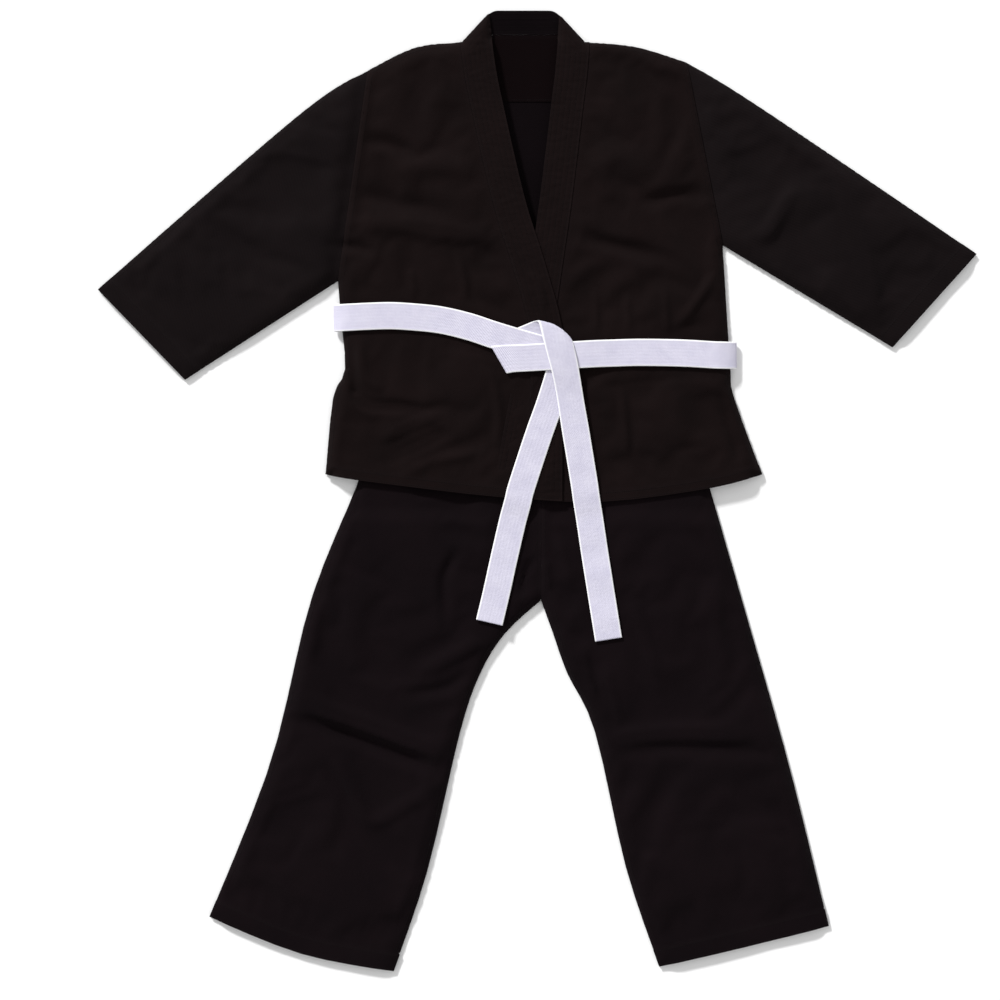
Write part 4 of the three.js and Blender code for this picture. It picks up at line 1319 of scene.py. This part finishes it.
def add_node(tree, kind, inputs=None, **settings):
    """Adds a node with its settings; an input is a number, a colour or another node's output."""
    new = tree.nodes.new(kind)
    for key, value in settings.items():
        setattr(new, key, value)
    for key, value in (inputs or {}).items():
        if isinstance(value, bpy.types.NodeSocket):
            tree.links.new(value, new.inputs[key])
        else:
            new.inputs[key].default_value = value
    return new


def woven_cotton(name, dark, light, edge_wear_and_highlight, thread, sheen, bump, mottle=0.12, rough=0.88,
                 gloss=0.08, edge_wear_and_highlight_share=0.2):
    """A woven cloth. thread is the drawn spacing of the twill in metres, mottle its patches. The
    edge colour is rubbed wear on the black cloth and a painted highlight on the belt.
    """
    material = bpy.data.materials.new(name)
    material.use_nodes = True
    tree = material.node_tree
    shader = tree.nodes["Principled BSDF"]
    flat = add_node(tree, "ShaderNodeUVMap", uv_map="flat_cloth").outputs["UV"]
    place = add_node(tree, "ShaderNodeTexCoord").outputs["Object"]
    patches = add_node(tree, "ShaderNodeTexNoise", {
        "Vector": place, "Scale": 1 / mottle, "Detail": 5.0, "Roughness": 0.6})
    slub = add_node(tree, "ShaderNodeTexNoise", {
        "Vector": flat, "Scale": 1 / (thread * 2.4), "Detail": 2.0, "Roughness": 0.5})
    twill = add_node(tree, "ShaderNodeTexWave", {
        "Vector": flat, "Scale": 1 / (thread * 3.1), "Distortion": 1.2, "Detail": 1.5,
        "Detail Scale": 1.5}, wave_type="BANDS", bands_direction="DIAGONAL")
    dye = add_node(tree, "ShaderNodeMix", {
        "Factor": patches.outputs["Fac"], 6: linear(dark), 7: linear(light)}, data_type="RGBA")
    lint = add_node(tree, "ShaderNodeMapRange", {
        "Value": slub.outputs["Fac"], "From Min": 0.62, "From Max": 0.8, "To Min": 0.0,
        "To Max": 0.35})
    linted = add_node(tree, "ShaderNodeMix", {
        "Factor": lint.outputs["Result"], 6: dye.outputs[2], 7: linear(light)}, data_type="RGBA")
    # edges mixed towards the edge colour: rubbed wear on the black cloth, a painted white
    # highlight on the belt's edges
    near = add_node(tree, "ShaderNodeAttribute", attribute_name="edge")
    edge_wear_and_highlight_amount = add_node(tree, "ShaderNodeMath", {0: near.outputs["Fac"], 1: edge_wear_and_highlight_share},
                    operation="MULTIPLY")
    edge_wear_and_highlight_mix = add_node(tree, "ShaderNodeMix", {
        "Factor": edge_wear_and_highlight_amount.outputs[0], 6: linted.outputs[2], 7: linear(edge_wear_and_highlight)}, data_type="RGBA")
    relief = add_node(tree, "ShaderNodeMath", {
        0: twill.outputs["Fac"], 1: slub.outputs["Fac"]}, operation="ADD")
    raised = add_node(tree, "ShaderNodeBump", {
        "Height": relief.outputs[0], "Strength": bump, "Distance": thread * 0.5})
    tree.links.new(edge_wear_and_highlight_mix.outputs[2], shader.inputs["Base Color"])
    tree.links.new(raised.outputs["Normal"], shader.inputs["Normal"])
    shader.inputs["Roughness"].default_value = rough
    shader.inputs["IOR"].default_value = 1.45
    shader.inputs["Specular IOR Level"].default_value = gloss
    shader.inputs["Sheen Weight"].default_value = sheen
    shader.inputs["Sheen Roughness"].default_value = 0.55
    return material


TWILL = 0.0016
finishes = {
    "jacket_cotton": woven_cotton("black_cotton_drill_jacket", "0B0606", "170E0E", "1C1516",
                                  TWILL, 0.010, 0.4, 0.08, gloss=0.06),
    "sleeve_cotton": woven_cotton("black_cotton_drill_sleeve", "0B0708", "161011", "1C1718",
                                  TWILL, 0.010, 0.25, 0.09, gloss=0.06),
    "trouser_cotton": woven_cotton("black_cotton_drill_trousers", "080406", "120A0D", "191315",
                                   TWILL, 0.010, 0.35, 0.09, gloss=0.06),
    # the lining's black is darker than the jacket's: painted shade for the shaded inside of the
    # neck
    "lining_cotton": woven_cotton("black_cotton_lining_painted_shade", "080304", "0D0607", "140E10",
                                  TWILL, 0.005, 0.4, gloss=0.04),
    # the belt's edge colour is pure white at nine tenths: a painted highlight that lights its
    # edges all round, the lower ones too
    "belt_cotton": woven_cotton("white_quilted_belt_cotton", "C2BFD4", "DFDCEA", "FFFFFF",
                                0.0013, 0.05, 0.55, mottle=0.022, rough=0.8, gloss=0.2,
                                edge_wear_and_highlight_share=0.9),
    "waist_elastic": woven_cotton("white_ribbed_elastic", "C6C3BC", "D4D1CA", "E9E7E1",
                                  0.0012, 0.05, 0.6, mottle=0.02, rough=0.75, gloss=0.2),
}
thread_black = woven_cotton("black_polyester_thread", "0B0708", "120D0E", "1A1416", 0.0008,
                            0.01, 0.3, rough=0.7, gloss=0.08)
# the reverse of the drill, darkened well below the jacket's black as painted shade for the shaded
# inside of the neck opening
wrong_side_painted_shade_black = woven_cotton("black_cotton_drill_wrong_side", "070405", "0E080B", "141011",
                            TWILL, 0.006, 0.35, 0.08, gloss=0.04, edge_wear_and_highlight_share=0.05)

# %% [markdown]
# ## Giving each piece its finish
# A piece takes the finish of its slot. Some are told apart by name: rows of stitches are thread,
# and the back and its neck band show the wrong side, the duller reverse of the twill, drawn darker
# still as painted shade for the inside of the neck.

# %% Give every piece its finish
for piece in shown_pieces():
    if piece.get("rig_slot"):
        finish = finishes[piece["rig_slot"]]
        if piece.name.endswith("topstitching"):
            finish = thread_black
        # back and neck band: the reverse of the twill, darkened as painted shade
        elif piece.name in ("jacket_back_cloth", "collar_neck_band_cloth"):
            finish = wrong_side_painted_shade_black
        piece.data.materials.clear()
        piece.data.materials.append(finish)
paper = bpy.data.materials.new("matt_white_paper")
paper.use_nodes = True
surface = paper.node_tree.nodes["Principled BSDF"].inputs
surface["Base Color"].default_value = linear("F7F7F7")
surface["Roughness"].default_value = 0.95
floor.data.materials.append(paper)
